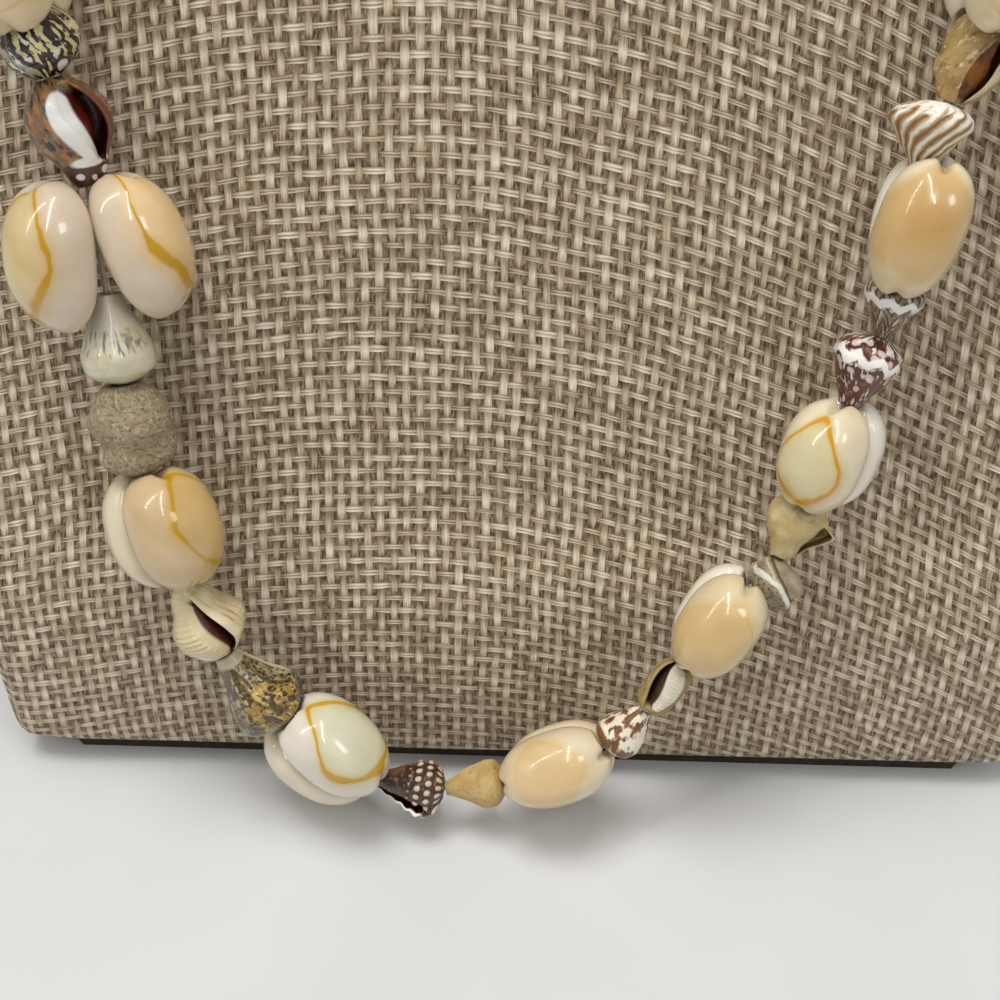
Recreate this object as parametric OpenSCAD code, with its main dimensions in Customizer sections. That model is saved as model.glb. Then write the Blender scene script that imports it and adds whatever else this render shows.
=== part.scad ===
// Cowrie shell necklace on a fabric covered neck bust. Millimetres, +Z up.
// The origin is the middle of the base plate's underside, and the chest faces -Y.

/* [Thread] */
// Diameter of the nylon thread
thread_d = 0.7; // [0.5:0.1:0.9]
// Diameter of the hole drilled through each shell
bore_d = 1.5; // [1.3:0.1:1.7]
// Sides of the thread's section
thread_sides = 5; // [5:1:6]

/* [Cowries] */
// Height of a cowrie's dome, as a share of its width
dome_share = 0.72; // [0.68:0.01:0.76]
// Height of a cowrie's two ends over its base, as a share of its width
tip_share = 0.2; // [0.15:0.01:0.25]
// Space between the bases of two paired cowries
base_gap = 0.5; // [0.4:0.1:0.8]
// Rings of points along a cowrie
cowrie_rings = 7; // [6:1:9]

/* [Small snail shells] */
// Sides of a snail shell's section
snail_sides = 10; // [8:1:12]
// Free space between neighbouring shells on the thread
bead_gap = 0.35; // [0.3:0.05:0.5]
// Free space where a shell's end nests between two cowries
nest_gap = 0.3; // [0.2:0.05:0.4]

/* [Clasp] */
// Length of the barrel clasp
clasp_l = 12; // [10:1:14]
// Diameter of the barrel clasp at its middle
clasp_d = 5; // [4:0.5:6]
// Depth of the hole at each end of the clasp
clasp_hole_l = 3; // [2:0.5:4]

/* [Bust] */
// Thickness of the base plate
plate_t = 4; // [3:0.5:4]
// Width of the base plate
plate_w = 156; // [150:1:158]
// Depth of the base plate, front to back
plate_depth = 81; // [76:1:82]
// Size of the base plate's clipped corners
plate_clip = 7; // [5:1:10]
// Gap between the plate and the form on it
seat_gap = 0.2; // [0.2:0.1:0.4]
// Points round each section of the form
bust_sides = 28; // [24:4:36]

/* [Hidden] */
// The covered form, in level sections from its lower edge to the top of the neck
HEIGHT = 0;
HALF_W = 1;
HALF_D = 2;
CENTRE_Y = 3;
SQUARENESS = 4;
bust_sections = [
    // height, half width, half depth, centre y, squareness
    [plate_t + seat_gap, 78, 41.5, -0.5, 30],
    [5.5, 79.2, 43.3, -0.5, 30],
    [9, 80, 44.4, -0.5, 30],
    [16, 80.8, 44.6, -0.6, 28],
    [30, 82.5, 43.8, -0.8, 24],
    [50, 86, 41.5, 2.4, 16],
    [80, 90, 38, 4.2, 9],
    [105, 92, 34, 4.6, 6],
    [125, 91, 31, 5.1, 3.8],
    [140, 80, 29.5, 6.3, 2.8],
    [152, 62, 29.5, 8.5, 2.4],
    [162, 48, 31.5, 11.5, 2.1],
    [174, 41, 34, 15, 2],
    [190, 39, 35, 17.5, 2],
    [206, 39, 35, 20, 2]
];

// The route of the thread, from the clasp behind the neck down the left, across and back up
route_points = [
    [-clasp_l / 2, 59, 173], [-18, 57.4, 173], [-31.5, 50.5, 173], [-45, 37, 173],
    [-53.5, 19.5, 172], [-57, 2, 168], [-60, -15, 159], [-61.5, -27, 145], [-62, -33, 131],
    [-60.5, -36, 118], [-58.5, -36.6, 109], [-55.5, -37.5, 98], [-54, -40.5, 85], [-53.5, -42.5, 74],
    [-52.5, -45, 62], [-49.5, -48.5, 49], [-44, -51.5, 36.5], [-38.2, -53, 24.5],
    [-29.5, -54.5, 13], [-16, -55.5, 9], [-6, -55.5, 9.2], [6.8, -55, 12.5],
    [15.2, -54, 20.7], [20.6, -53.5, 29.5], [25.2, -52, 40.6], [33.3, -50, 46.2],
    [37, -47.6, 53], [38.4, -46, 63], [41.4, -43.5, 73], [43.8, -42, 80.5], [45.3, -40.8, 92],
    [45.8, -39, 101], [47.8, -37, 109.5], [50, -36.4, 118], [53.6, -34.4, 131],
    [58, -28.5, 145], [60, -15, 159], [57, 2, 168], [53.5, 19.5, 172], [45, 37, 173],
    [31.5, 50.5, 173], [18, 57.4, 173], [clasp_l / 2, 59, 173]
];
// Free thread between the clasp and the shell beside it
clasp_gap = 0.6;
// The shown stretch starts this far along the route
shown_start = 141;

// Pairs of cowries in the shown stretch, and the snail shells between them.
// pitch is the thread that a bead takes. notch is 1 where the notched ends come first on
// the route and -1 where they come last, and reach is how far they pass the pair's pitch.
// facing turns the front dome from straight outwards towards the loop's inside, and cup turns
// both domes to the viewer. Each cowrie turns about its middle: splay opens the lower ends,
// and swing takes the lower end to the loop's inside.
KIND = 0;
LENGTH = 1;
WIDTH = 2;
PITCH = 3;
NOTCH = 4;
REACH = 5;
FACING = 6;
CUP = 7;
SPLAY_FRONT = 8;
SPLAY_BACK = 9;
SWING_FRONT = 10;
SWING_BACK = 11;
// A snail shell's last columns are its own: tip is 1 where the narrow end comes first,
// turn is where its lip shows, lean tips it off the thread and shift moves it inwards.
TIP = 4;
TURN = 5;
LEAN = 6;
SHIFT = 7;
shown = [
    // kind, length, width, pitch, notch, reach, facing, cup, splays and swings front, back
    ["pair", 18, 12.2, 14, 1, -1.2, 5, 0, 4, 2, 0, 0],
    // kind, length, width, pitch, tip, turn, lean, shift
    ["spire", 9.4, 9.8, 9.8, 1, 330, 0, -0.2],
    ["spire", 12.4, 11, 12.8, -1, 20, 4, 0],
    ["pair", 18.6, 12, 12.7, 1, 1.4, 111, 28, 16, 6, 0, 0],
    ["cone", 11.4, 10, 11.7, 1, 330, 0, 0],
    ["worn", 11.8, 11, 12.2, 1, 330, 0, 0],
    ["pair", 17.2, 12.2, 16.2, 1, 0.4, 52, 0, 3, 3, -4, -8],
    ["spire", 11.6, 11.4, 12, 1, 100, 0, -0.6],
    ["cone", 13.6, 11.6, 13.9, 1, 330, 0, 0],
    ["pair", 18, 12.2, 17.1, 1, 0.5, 66, 0, 2, 2, -10, -6],
    ["cone", 10.3, 7.8, 10.7, 1, 190, 0, 0],
    ["cone", 8.9, 7.4, 9.2, 1, 330, 0, 0],
    ["pair", 16.9, 10.8, 16.5, -1, 0.4, 34, 0, 2, 2, 5, 5],
    ["cone", 8.3, 8, 8.6, -1, 210, 0, 0],
    ["worn", 8.8, 6.4, 9.1, -1, 25, 0, -0.4],
    ["pair", 15.8, 10.6, 15, -1, 1.5, 20, 0, 2, 2, -5, -5],
    ["worn", 5.9, 7.8, 6.6, 1, 330, 0, -2.2],
    ["spire", 8.7, 9, 9, 1, 165, 0, 1.2],
    ["pair", 15.4, 10.8, 13.3, -1, 1, 42, 0, 2, 2, 0, 0],
    ["cone", 9.2, 9.2, 9.5, 1, 330, 0, 0],
    ["cone", 7.6, 7.8, 7.9, 1, 330, 0, 0],
    ["pair", 17, 10.4, 12.7, -1, 2, 14, 0, 3, 2, 7, 0],
    ["cone", 7.3, 9.6, 7.6, 1, 330, 0, 1.4],
    ["worn", 9.7, 8, 10, 1, 165, 0, 0],
    ["pair", 18, 12.2, 14.5, -1, 1, 0, 0, 2, 2, 0, 0]
];

// The unseen stretch on each side repeats one group, its pitches shared out to fit
groups_behind = 4;
group = [
    ["cone", 8.6, 8.2, 9.4, 1, 330, 0, 0],
    ["spire", 8.6, 8.4, 9.4, 1, 90, 0, 0],
    ["pair", 15.8, 11.4, 16.2, -1, 0, 0, 0, 2, 2, 0, 0]
];

// How far cupped cowries stand apart, as a share of their width
cup_share = 0.4;

// Half outline of a cowrie's section: across from the middle, up from the base
ACROSS = 0;
UP = 1;
cowrie_section = [
    // across, up
    [0, 1], [0.55, 0.92], [0.89, 0.64], [1, 0.3], [0.87, 0.05], [0.34, 0]
];

// Outlines of the snail shells, from the narrow end
PLACE = 0;
SIZE = 1;
cone_outline = [
    // place along the axis, size
    [0, 0.3], [0.12, 0.42], [0.3, 0.62], [0.5, 0.84], [0.68, 1], [0.82, 0.96],
    [0.93, 0.7], [1, 0.34]
];
spire_outline = [
    // place along the axis, size
    [0, 0.28], [0.14, 0.5], [0.28, 0.66], [0.42, 0.86], [0.58, 1], [0.74, 0.95],
    [0.9, 0.7], [1, 0.42]
];
worn_outline = [
    // place along the axis, size
    [0, 0.5], [0.1, 0.78], [0.28, 0.95], [0.48, 1], [0.66, 0.92], [0.82, 0.9],
    [0.94, 0.72], [1, 0.46]
];
// Height of the outer lip over the round body, and depth of the mouth beside it
lip_share = 0.12;
mouth_share = 0.16;
// Angle across which the lip rises, and how far round from it the mouth lies
lip_spread = 50;
mouth_offset = -62;

// Steps of the curve between two route points
route_steps = 6;
// Length of the thread inside the clasp's hole
thread_end = clasp_hole_l - 0.5;

function add_up(values) = [
    for (i = 0, sum = 0; i <= len(values); sum = sum + (i < len(values) ? values[i] : 0), i = i + 1)
        sum
];
function total(values) = add_up(values)[len(values)];
function column(rows, c) = [for (row = rows) row[c]];
function unit(v) = v / norm(v);
function arc_power(value, power) = sign(value) * pow(abs(value), power);

// A smooth curve through four points, at t from the second to the third
function curve(a, b, c, d, t) =
    0.5 * (2 * b + (c - a) * t + (2 * a - 5 * b + 4 * c - d) * t * t
        + (3 * b - a - 3 * c + d) * t * t * t);

last_point = len(route_points) - 1;
function route_point(i) = route_points[max(0, min(last_point, i))];
route = [
    for (i = [0:last_point - 1], k = [0:route_steps - 1])
        curve(route_point(i - 1), route_point(i), route_point(i + 1), route_point(i + 2),
            k / route_steps),
    route_points[last_point]
];
route_length = add_up([for (i = [0:len(route) - 2]) norm(route[i + 1] - route[i])]);
route_end = route_length[len(route) - 1];
route_x = [for (i = [0:len(route) - 1]) [route_length[i], route[i].x]];
route_y = [for (i = [0:len(route) - 1]) [route_length[i], route[i].y]];
route_z = [for (i = [0:len(route) - 1]) [route_length[i], route[i].z]];
function on_route(s) = [lookup(s, route_x), lookup(s, route_y), lookup(s, route_z)];

// Where the shown stretch ends on the route, and how the rest is shared out
shown_end = shown_start + total(column(shown, PITCH));
behind = [for (k = [1:groups_behind], row = group) row];
behind_pitch = total(column(behind, PITCH));
behind_count = len(behind);

function mirrored(row) = row[KIND] == "pair"
    ? [for (c = [0:len(row) - 1]) c == NOTCH ? -row[c] : row[c]]
    : [for (c = [0:len(row) - 1]) c == TIP ? -row[c] : row[c]];
function scaled_pitch(row, k) = [for (c = [0:len(row) - 1]) c == PITCH ? row[c] * k : row[c]];

left_share = (shown_start - clasp_gap) / behind_pitch;
right_share = (route_end - clasp_gap - shown_end) / behind_pitch;
beads = [
    for (i = [1:behind_count]) scaled_pitch(mirrored(behind[behind_count - i]), left_share),
    for (row = shown) row,
    for (row = behind) scaled_pitch(row, right_share)
];
bead_starts = [for (sum = add_up(column(beads, PITCH))) clasp_gap + sum];

// The straight stretch of thread inside a bead
function bead_from(i) = on_route(bead_starts[i] + bead_gap / 2);
function bead_to(i) = on_route(bead_starts[i + 1] - bead_gap / 2);

function section_at(z, c) = lookup(z, [for (row = bust_sections) [row[HEIGHT], row[c]]]);

// Straight out from the form at a point beside it
function outwards(p) =
    let (half_w = section_at(p.z, HALF_W), half_d = section_at(p.z, HALF_D),
        power = section_at(p.z, SQUARENESS) - 1, x = p.x / half_w,
        y = (p.y - section_at(p.z, CENTRE_Y)) / half_d)
    unit([arc_power(x, power) / half_w, arc_power(y, power) / half_d, 0]);

// A bead's own frame: x to the loop's inside, y out from the bust, z along the thread
function bead_frame(i) =
    let (from = bead_from(i), to = bead_to(i), middle = (from + to) / 2,
        along = unit(to - from), out = outwards(middle),
        facing = unit(out - (out * along) * along), inside = cross(facing, along))
    [
        [inside.x, facing.x, along.x, middle.x],
        [inside.y, facing.y, along.y, middle.y],
        [inside.z, facing.z, along.z, middle.z],
        [0, 0, 0, 1]
    ];

// Faces of a closed skin over rings of the same number of points, first and last ring flat
function skin_faces(rings, sides) = [
    [for (k = [0:sides - 1]) sides - 1 - k],
    for (r = [0:rings - 2], k = [0:sides - 1])
        let (a = r * sides + k, b = r * sides + (k + 1) % sides)
        each [[a, b, b + sides], [a, b + sides, a + sides]],
    [for (k = [0:sides - 1]) (rings - 1) * sides + k]
];
module skin(rings) {
    polyhedron(points = [for (ring = rings) each ring],
        faces = [for (f = skin_faces(len(rings), len(rings[0]))) [for (i = [len(f) - 1:-1:0]) f[i]]],
        convexity = 4);
}

// A cowrie lies along +Z from its notched end at the origin, base on y = 0, dome at +Y
cowrie_half = len(cowrie_section) - 1;
function cowrie_width_at(t) = pow(1 - pow(abs(2 * pow(t, 0.92) - 1), 2.5), 0.55);
function cowrie_height_at(t) = pow(1 - pow(abs(2 * pow(t, 0.95) - 1), 2.3), 0.6);
function cowrie_belly_at(t) = pow(1 - pow(abs(2 * t - 1), 3), 0.6);
function cowrie_ring(length, width, t) =
    let (half = width / 2 * cowrie_width_at(t),
        base = width * tip_share * (1 - cowrie_belly_at(t)),
        top = width * (tip_share + (dome_share - tip_share) * cowrie_height_at(t)))
    [
        for (k = [0:cowrie_half])
            let (row = cowrie_section[k])
            [-row[ACROSS] * half, base + row[UP] * (top - base), t * length],
        for (k = [0:cowrie_half - 1])
            let (row = cowrie_section[cowrie_half - k])
            [row[ACROSS] * half, base + row[UP] * (top - base), t * length]
    ];
module cowrie(length, width) {
    skin([
        for (k = [0:cowrie_rings - 1])
            let (a = 180 * (k + 0.35) / (cowrie_rings - 0.3))
            cowrie_ring(length, width, (1 - cos(a)) / 2)
    ]);
}

// A snail shell lies along +Z, centred, narrow end first, with its lip towards +X
function snail_outline(kind) =
    kind == "cone" ? cone_outline : kind == "spire" ? spire_outline : worn_outline;
function bump(angle, centre, spread) =
    let (off = abs((angle - centre + 540) % 360 - 180))
    off < spread ? pow(cos(90 * off / spread), 2) : 0;
function snail_ring(length, width, row) =
    [
        for (k = [0:snail_sides - 1])
            let (angle = 360 * k / snail_sides,
                body = row[SIZE] * width / 2 / (1 + lip_share / 2),
                r = body * (1 + lip_share * bump(angle, 0, lip_spread)
                    - mouth_share * bump(angle, mouth_offset, lip_spread)))
            [r * cos(angle), r * sin(angle), (row[PLACE] - 0.5) * length]
    ];
module snail(kind, length, width) {
    skin([for (row = snail_outline(kind)) snail_ring(length, width, row)]);
}

// One cowrie of a pair: side is 1 for the front one and -1 for the back one
module paired_cowrie(row, side) {
    notched_end = (row[PITCH] - bead_gap) / 2 + row[REACH];
    rise = base_gap / 2 + cup_share * row[WIDTH] * sin(row[CUP]);
    splay = side > 0 ? row[SPLAY_FRONT] : row[SPLAY_BACK];
    swing = side > 0 ? row[SWING_FRONT] : -row[SWING_BACK];
    mirror([0, 0, row[NOTCH] > 0 ? 0 : 1])
        rotate([0, 0, (side > 0 ? 0 : 180) - row[FACING]])
        translate([0, rise, row[LENGTH] / 2 - notched_end])
        rotate([-splay, 0, side * row[CUP]])
        rotate([0, swing, 0])
        translate([0, 0, -row[LENGTH] / 2])
            cowrie(row[LENGTH], row[WIDTH]);
}

module bore(row) {
    translate([0, 0, -row[PITCH]])
        cylinder(h = 2 * row[PITCH], d = bore_d, $fn = 24);
}

// A snail shell in its bead frame, grown by a margin on every side
module laid_snail(row, margin = 0) {
    translate([row[SHIFT], 0, 0])
        rotate([0, row[LEAN], row[TURN]])
        rotate([row[TIP] > 0 ? 0 : 180, 0, 0])
        snail(row[KIND], row[LENGTH] + 2 * margin, row[WIDTH] + 2 * margin);
}

module on_thread(i) {
    multmatrix(bead_frame(i))
        children();
}

// Cowries are ground away where the ends of the neighbouring shells nest between them
module threaded_cowrie(i, side) {
    difference() {
        on_thread(i)
            difference() {
                paired_cowrie(beads[i], side);
                bore(beads[i]);
            }
        for (next = [i - 1, i + 1])
            if (next >= 0 && next < len(beads))
                on_thread(next)
                    laid_snail(beads[next], nest_gap);
    }
}

module threaded_snail(i) {
    row = beads[i];
    on_thread(i)
        difference() {
            laid_snail(row);
            bore(row);
        }
}

first_bead = behind_count;
shown_beads = [for (i = [0:len(shown) - 1]) first_bead + i];
pair_beads = [for (i = shown_beads) if (beads[i][KIND] == "pair") i];
snail_beads = [for (i = shown_beads) if (beads[i][KIND] != "pair") i];
snail_colours = ["#5a4632", "#6e4630", "#ddd6bf", "#a8946c", "#d9cc9c", "#8d7a3c", "#4a342a", "#c8ab70",
    "#cdbb9d", "#b09a68", "#9a8c74", "#cdb98a", "#5b3327", "#7d7263", "#c4a882", "#c09a62"];

module cowrie_front(n) {
    color("#e6cda0")
        threaded_cowrie(pair_beads[n - 1], 1);
}

module cowrie_back(n) {
    color("#eadfc6")
        threaded_cowrie(pair_beads[n - 1], -1);
}

module snail_shell(n) {
    color(snail_colours[n - 1])
        threaded_snail(snail_beads[n - 1]);
}

// The unseen shells of one side
module shells_behind(from, to) {
    color("#d9c7a2")
        for (i = [from:to])
            if (beads[i][KIND] == "pair") {
                threaded_cowrie(i, 1);
                threaded_cowrie(i, -1);
            } else {
                threaded_snail(i);
            }
}

module shells_behind_left() {
    shells_behind(0, first_bead - 1);
}

module shells_behind_right() {
    shells_behind(first_bead + len(shown), len(beads) - 1);
}

// The thread: straight inside each shell, with its bends in the gaps between them
thread_path = [
    on_route(0) + [thread_end, 0, 0],
    on_route(0),
    for (i = [0:len(beads) - 1]) each [bead_from(i), bead_to(i)],
    on_route(route_end),
    on_route(route_end) - [thread_end, 0, 0]
];
function thread_ring(k) =
    let (last = len(thread_path) - 1, here = thread_path[k],
        along = unit(thread_path[min(last, k + 1)] - thread_path[max(0, k - 1)]),
        out = outwards(here), side = unit(cross(out, along)), up = cross(along, side))
    [
        for (a = [0:thread_sides - 1])
            let (angle = 360 * a / thread_sides)
            here + thread_d / 2 * (side * cos(angle) + up * sin(angle))
    ];
module thread() {
    color("#e8e4dc")
        skin([for (k = [0:len(thread_path) - 1]) thread_ring(k)]);
}

// A plain barrel clasp behind the neck, with a blind hole at each end for the thread
module barrel_clasp() {
    end_d = clasp_d * 0.72;
    band_l = clasp_l / 6;
    color("#b8a878")
        translate([0, on_route(0).y, on_route(0).z])
        rotate([0, 90, 0])
        difference() {
            rotate_extrude($fn = 32)
                polygon([[0, -clasp_l / 2], [end_d / 2, -clasp_l / 2], [clasp_d / 2, -band_l],
                    [clasp_d / 2, band_l], [end_d / 2, clasp_l / 2], [0, clasp_l / 2]]);
            for (side = [-1, 1])
                translate([0, 0, side * (clasp_l / 2 - clasp_hole_l / 2)])
                    cylinder(h = clasp_hole_l + 0.01, d = bore_d, center = true, $fn = 24);
        }
}

function bust_ring(row) = [
    for (k = [0:bust_sides - 1])
        let (angle = 360 * k / bust_sides, power = 2 / row[SQUARENESS])
        [row[HALF_W] * arc_power(cos(angle), power),
            row[CENTRE_Y] + row[HALF_D] * arc_power(sin(angle), power), row[HEIGHT]]
];
module bust_form() {
    color("#b8a78e")
        skin([for (row = bust_sections) bust_ring(row)]);
}

module base_plate() {
    x = plate_w / 2;
    y = plate_depth / 2;
    color("#3a2c20")
        linear_extrude(plate_t)
        polygon([[-x + plate_clip, -y], [x - plate_clip, -y], [x, -y + plate_clip],
            [x, y - plate_clip], [x - plate_clip, y], [-x + plate_clip, y],
            [-x, y - plate_clip], [-x, -y + plate_clip]]);
}

pair_names = [for (n = [1:len(pair_beads)]) each [str("cowrie_front_", n), str("cowrie_back_", n)]];
snail_names = [for (n = [1:len(snail_beads)]) str("snail_shell_", n)];

for (n = [1:len(pair_beads)]) {
    cowrie_front(n);
    cowrie_back(n);
}
for (n = [1:len(snail_beads)])
    snail_shell(n);
shells_behind_left();
shells_behind_right();
thread();
barrel_clasp();
bust_form();
base_plate();
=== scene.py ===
# Cowrie shell necklace on a burlap covered neck bust. Metres, in the frame of the CAD model.
import functools
import math

import bpy
import numpy as np
from mathutils import Matrix, Vector, noise


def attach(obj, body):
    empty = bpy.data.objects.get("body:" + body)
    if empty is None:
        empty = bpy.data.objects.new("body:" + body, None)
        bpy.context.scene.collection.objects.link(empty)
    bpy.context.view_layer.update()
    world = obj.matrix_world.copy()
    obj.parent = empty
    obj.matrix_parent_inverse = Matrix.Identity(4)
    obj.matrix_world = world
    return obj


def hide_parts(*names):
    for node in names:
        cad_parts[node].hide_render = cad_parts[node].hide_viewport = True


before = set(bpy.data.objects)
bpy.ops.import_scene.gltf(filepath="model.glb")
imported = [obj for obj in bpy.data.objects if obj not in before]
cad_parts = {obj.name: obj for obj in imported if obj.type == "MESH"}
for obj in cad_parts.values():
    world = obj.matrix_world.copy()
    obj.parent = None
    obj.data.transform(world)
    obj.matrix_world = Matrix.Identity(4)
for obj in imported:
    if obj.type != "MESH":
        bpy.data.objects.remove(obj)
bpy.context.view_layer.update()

# The white table top that the bust stands on, the studio light over it and the camera.
# The table is a lacquered board. Lacquer gives the eye a nearly even white with a faint
# cloudy mottle and a soft gloss.
mm = 0.001


def linear(code):
    """The linear colour of an sRGB hex value."""
    parts = [int(code[k:k + 2], 16) / 255 for k in (1, 3, 5)]
    return [c / 12.92 if c <= 0.04045 else ((c + 0.055) / 1.055) ** 2.4 for c in parts] + [1]


def add(nodes, links, kind, *values, stops=(), **settings):
    """Adds a node, "Math.ADD" being a Math node set to ADD. A value may be another node."""
    kind, _, operation = kind.partition(".")
    made = nodes.new("ShaderNode" + kind)
    if operation:
        made.operation = operation
    for name, value in settings.items():
        setattr(made, name, value)
    named = values[0].items() if values and isinstance(values[0], dict) else enumerate(values)
    for key, value in named:
        if isinstance(value, bpy.types.Node):
            value = next(s for s in value.outputs if s.enabled)
        if isinstance(value, bpy.types.NodeSocket):
            links.new(value, made.inputs[key])
        else:
            made.inputs[key].default_value = linear(value) if isinstance(value, str) else value
    for k, (place, colour) in enumerate(stops):
        ramp = made.color_ramp.elements
        spot = ramp[k] if k < len(ramp) else ramp.new(place)
        spot.position = place
        spot.color = linear(colour)
    return made


def new_material(name):
    """A material without nodes, and the function that adds a node to it."""
    material = bpy.data.materials.new(name)
    material.use_nodes = True
    material.node_tree.nodes.clear()
    return material, functools.partial(add, material.node_tree.nodes, material.node_tree.links)


def mesh_piece(name, points, faces, materials):
    """A smooth mesh object in the scene, with its materials."""
    mesh = bpy.data.meshes.new(name)
    mesh.from_pydata([tuple(p) for p in points], [], faces)
    for material in materials:
        mesh.materials.append(material)
    mesh.polygons.foreach_set("use_smooth", [True] * len(mesh.polygons))
    mesh.validate()
    piece = bpy.data.objects.new(name, mesh)
    bpy.context.scene.collection.objects.link(piece)
    return piece


lacquer, node = new_material("white_lacquered_board")
place = node("TexCoord").outputs["Object"]
cloud = node("TexNoise", {"Vector": place, "Scale": 1 / (60 * mm), "Detail": 4.0})
tone = node("ValToRGB", cloud, stops=[(0.3, "#cccccb"), (0.7, "#d4d4d3")])
grain = node("TexNoise", {"Vector": place, "Scale": 1 / (1.5 * mm)})
relief = node("Bump", {"Height": grain, "Strength": 0.05, "Distance": 0.1 * mm})
node("OutputMaterial", node("BsdfPrincipled", {
    "Base Color": tone, "Roughness": 0.45, "IOR": 1.5, "Normal": relief}))
table_half = 3.0
corners = [(x * table_half, y * table_half, 0) for x, y in ((-1, -1), (1, -1), (1, 1), (-1, 1))]
table = mesh_piece("table_top", corners, [(0, 1, 2, 3)], [lacquer])

camera_place = (-4.0, -174.3, 138.8)
camera_tilt = 56.5
camera_roll = 1.6


def turned_by(angle, axis):
    """A turn of so many degrees round an axis."""
    return Matrix.Rotation(math.radians(angle), 4, axis)


scene = bpy.context.scene
scene.view_settings.view_transform = "Standard"
lens = bpy.data.cameras.new("camera")
lens.lens = 41.4
lens.sensor_width = 36
lens.clip_start = 0.01
camera = bpy.data.objects.new("camera", lens)
camera.matrix_world = (Matrix.Translation([c * mm for c in camera_place])
                       @ turned_by(camera_tilt, "X") @ turned_by(camera_roll, "Z"))
scene.collection.objects.link(camera)
scene.camera = camera

air = bpy.data.worlds.new("studio_air")
air.use_nodes = True
air.node_tree.nodes["Background"].inputs["Color"].default_value = linear("#e4e4e4")
air.node_tree.nodes["Background"].inputs["Strength"].default_value = 0.36
scene.world = air
lamps = [
    # name, width and depth, place, aimed at, power in W, seen in a gloss
    ("ceiling_panel", 0.5, 0.45, (-0.18, -0.16, 1.1), (0, 0, 0.06), 6.6, False),
    ("side_panel_left", 0.4, 0.3, (-0.6, -0.3, 0.3), (0, 0, 0.05), 0.7, False),
    ("side_panel_right", 0.4, 0.3, (0.6, -0.3, 0.3), (0, 0, 0.05), 0.7, False),
    ("tube_left", 0.025, 0.6, (-0.34, -0.26, 0.56), (0, -0.04, 0.06), 0.75, True),
    ("tube_right", 0.035, 0.7, (0.02, -0.3, 0.68), (0, -0.04, 0.06), 1.1, True),
    ("low_window", 0.12, 0.16, (0.32, -0.42, 0.46), (0, -0.04, 0.06), 0.35, True)]
for name, wide, deep, place, target, power, in_gloss in lamps:
    light = bpy.data.lights.new(name, "AREA")
    light.shape = "RECTANGLE"
    light.size = wide
    light.size_y = deep
    light.energy = power
    lamp = bpy.data.objects.new(name, light)
    aim = (Vector(target) - Vector(place)).to_track_quat("-Z", "Y")
    lamp.matrix_world = Matrix.Translation(place) @ aim.to_matrix().to_4x4()
    lamp.visible_glossy = in_gloss
    scene.collection.objects.link(lamp)

# The thin plate under the bust: dark stained fibreboard, sawn with clipped corners. The stain
# leaves a dull dark brown with short pale fibres showing at the cut edge.
stained, node = new_material("stained_fibreboard")
place = node("TexCoord").outputs["Object"]
fibre = node("TexNoise", {"Vector": place, "Scale": 1 / (1.2 * mm), "Detail": 6.0,
                          "Roughness": 0.7})
tone = node("ValToRGB", fibre, stops=[(0.25, "#1c1611"), (0.55, "#352a1e"), (0.8, "#5c4c37")])
relief = node("Bump", {"Height": fibre, "Strength": 0.5, "Distance": 0.2 * mm})
node("OutputMaterial", node("BsdfPrincipled", {
    "Base Color": tone, "Roughness": 0.7, "IOR": 1.5, "Normal": relief}))
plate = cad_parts["base_plate"]
for slot in plate.material_slots:
    slot.material = stained
if not plate.material_slots:
    plate.data.materials.append(stained)

# The neck bust: a stiff light core with burlap drawn tight over it, rolled over the lower edge,
# glued underneath and lapped over itself up the back.
bust_sections = [
    # height, half width, half depth, middle's y, squareness, all in mm but the last
    (4.2, 79.4, 42.5, -0.5, 30), (5.5, 80.1, 43.9, -0.5, 30), (9, 80.4, 44.5, -0.5, 30),
    (16, 80.8, 44.6, -0.6, 28), (30, 82.5, 43.8, -0.8, 24), (50, 86, 41.5, 2.4, 16),
    (80, 90, 38, 4.2, 9), (105, 92, 34, 4.6, 6), (125, 91, 31, 5.1, 3.8),
    (140, 80, 29.5, 6.3, 2.8), (152, 62, 29.5, 8.5, 2.4), (162, 48, 31.5, 11.5, 2.1),
    (174, 41, 34, 15, 2), (190, 39, 35, 17.5, 2), (206, 39, 35, 20, 2)]
bust_round = 220
ring_samples = 4001
bust_step = 1.6
edge_heights = (4.8, 5.6, 6.6, 7.8)
rim_round = 2.4
underside_insets = (30, 18, 8, 3)
top_insets = (4, 7, 12, 18, 25, 31)
chest_half = (90, 40)
chest_middle = 5
slack = 0.15
slack_size = 22
lap_half = 3.5
lap_rise = 0.7
lap_edge = 0.5
shoulder_height = 122
neck_height = 168


def smooth_at(table, place, column):
    """A column of a table, read between its rows along a smooth curve."""
    rows = [row[0] for row in table]
    place = min(max(place, rows[0]), rows[-1])
    k = min(max(np.searchsorted(rows, place) - 1, 0), len(rows) - 2)
    slopes = []
    for i in (k, k + 1):
        before, after = max(i - 1, 0), min(i + 1, len(rows) - 1)
        left = (table[i][column] - table[before][column]) / max(rows[i] - rows[before], 1e-9)
        right = (table[after][column] - table[i][column]) / max(rows[after] - rows[i], 1e-9)
        if i == 0:
            slopes.append(right)
        elif i == len(rows) - 1:
            slopes.append(left)
        else:
            slopes.append(0 if left * right <= 0 else 2 * left * right / (left + right))
    step = rows[k + 1] - rows[k]
    t = (place - rows[k]) / step
    a, b = table[k][column], table[k + 1][column]
    return ((1 + 2 * t) * (1 - t) ** 2 * a + t * t * (3 - 2 * t) * b
            + t * (1 - t) ** 2 * step * slopes[0] - t * t * (1 - t) * step * slopes[1])


def summed(steps):
    """How far along each point lies, from the steps between the points."""
    return np.concatenate([[0], np.cumsum(steps)])


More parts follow.
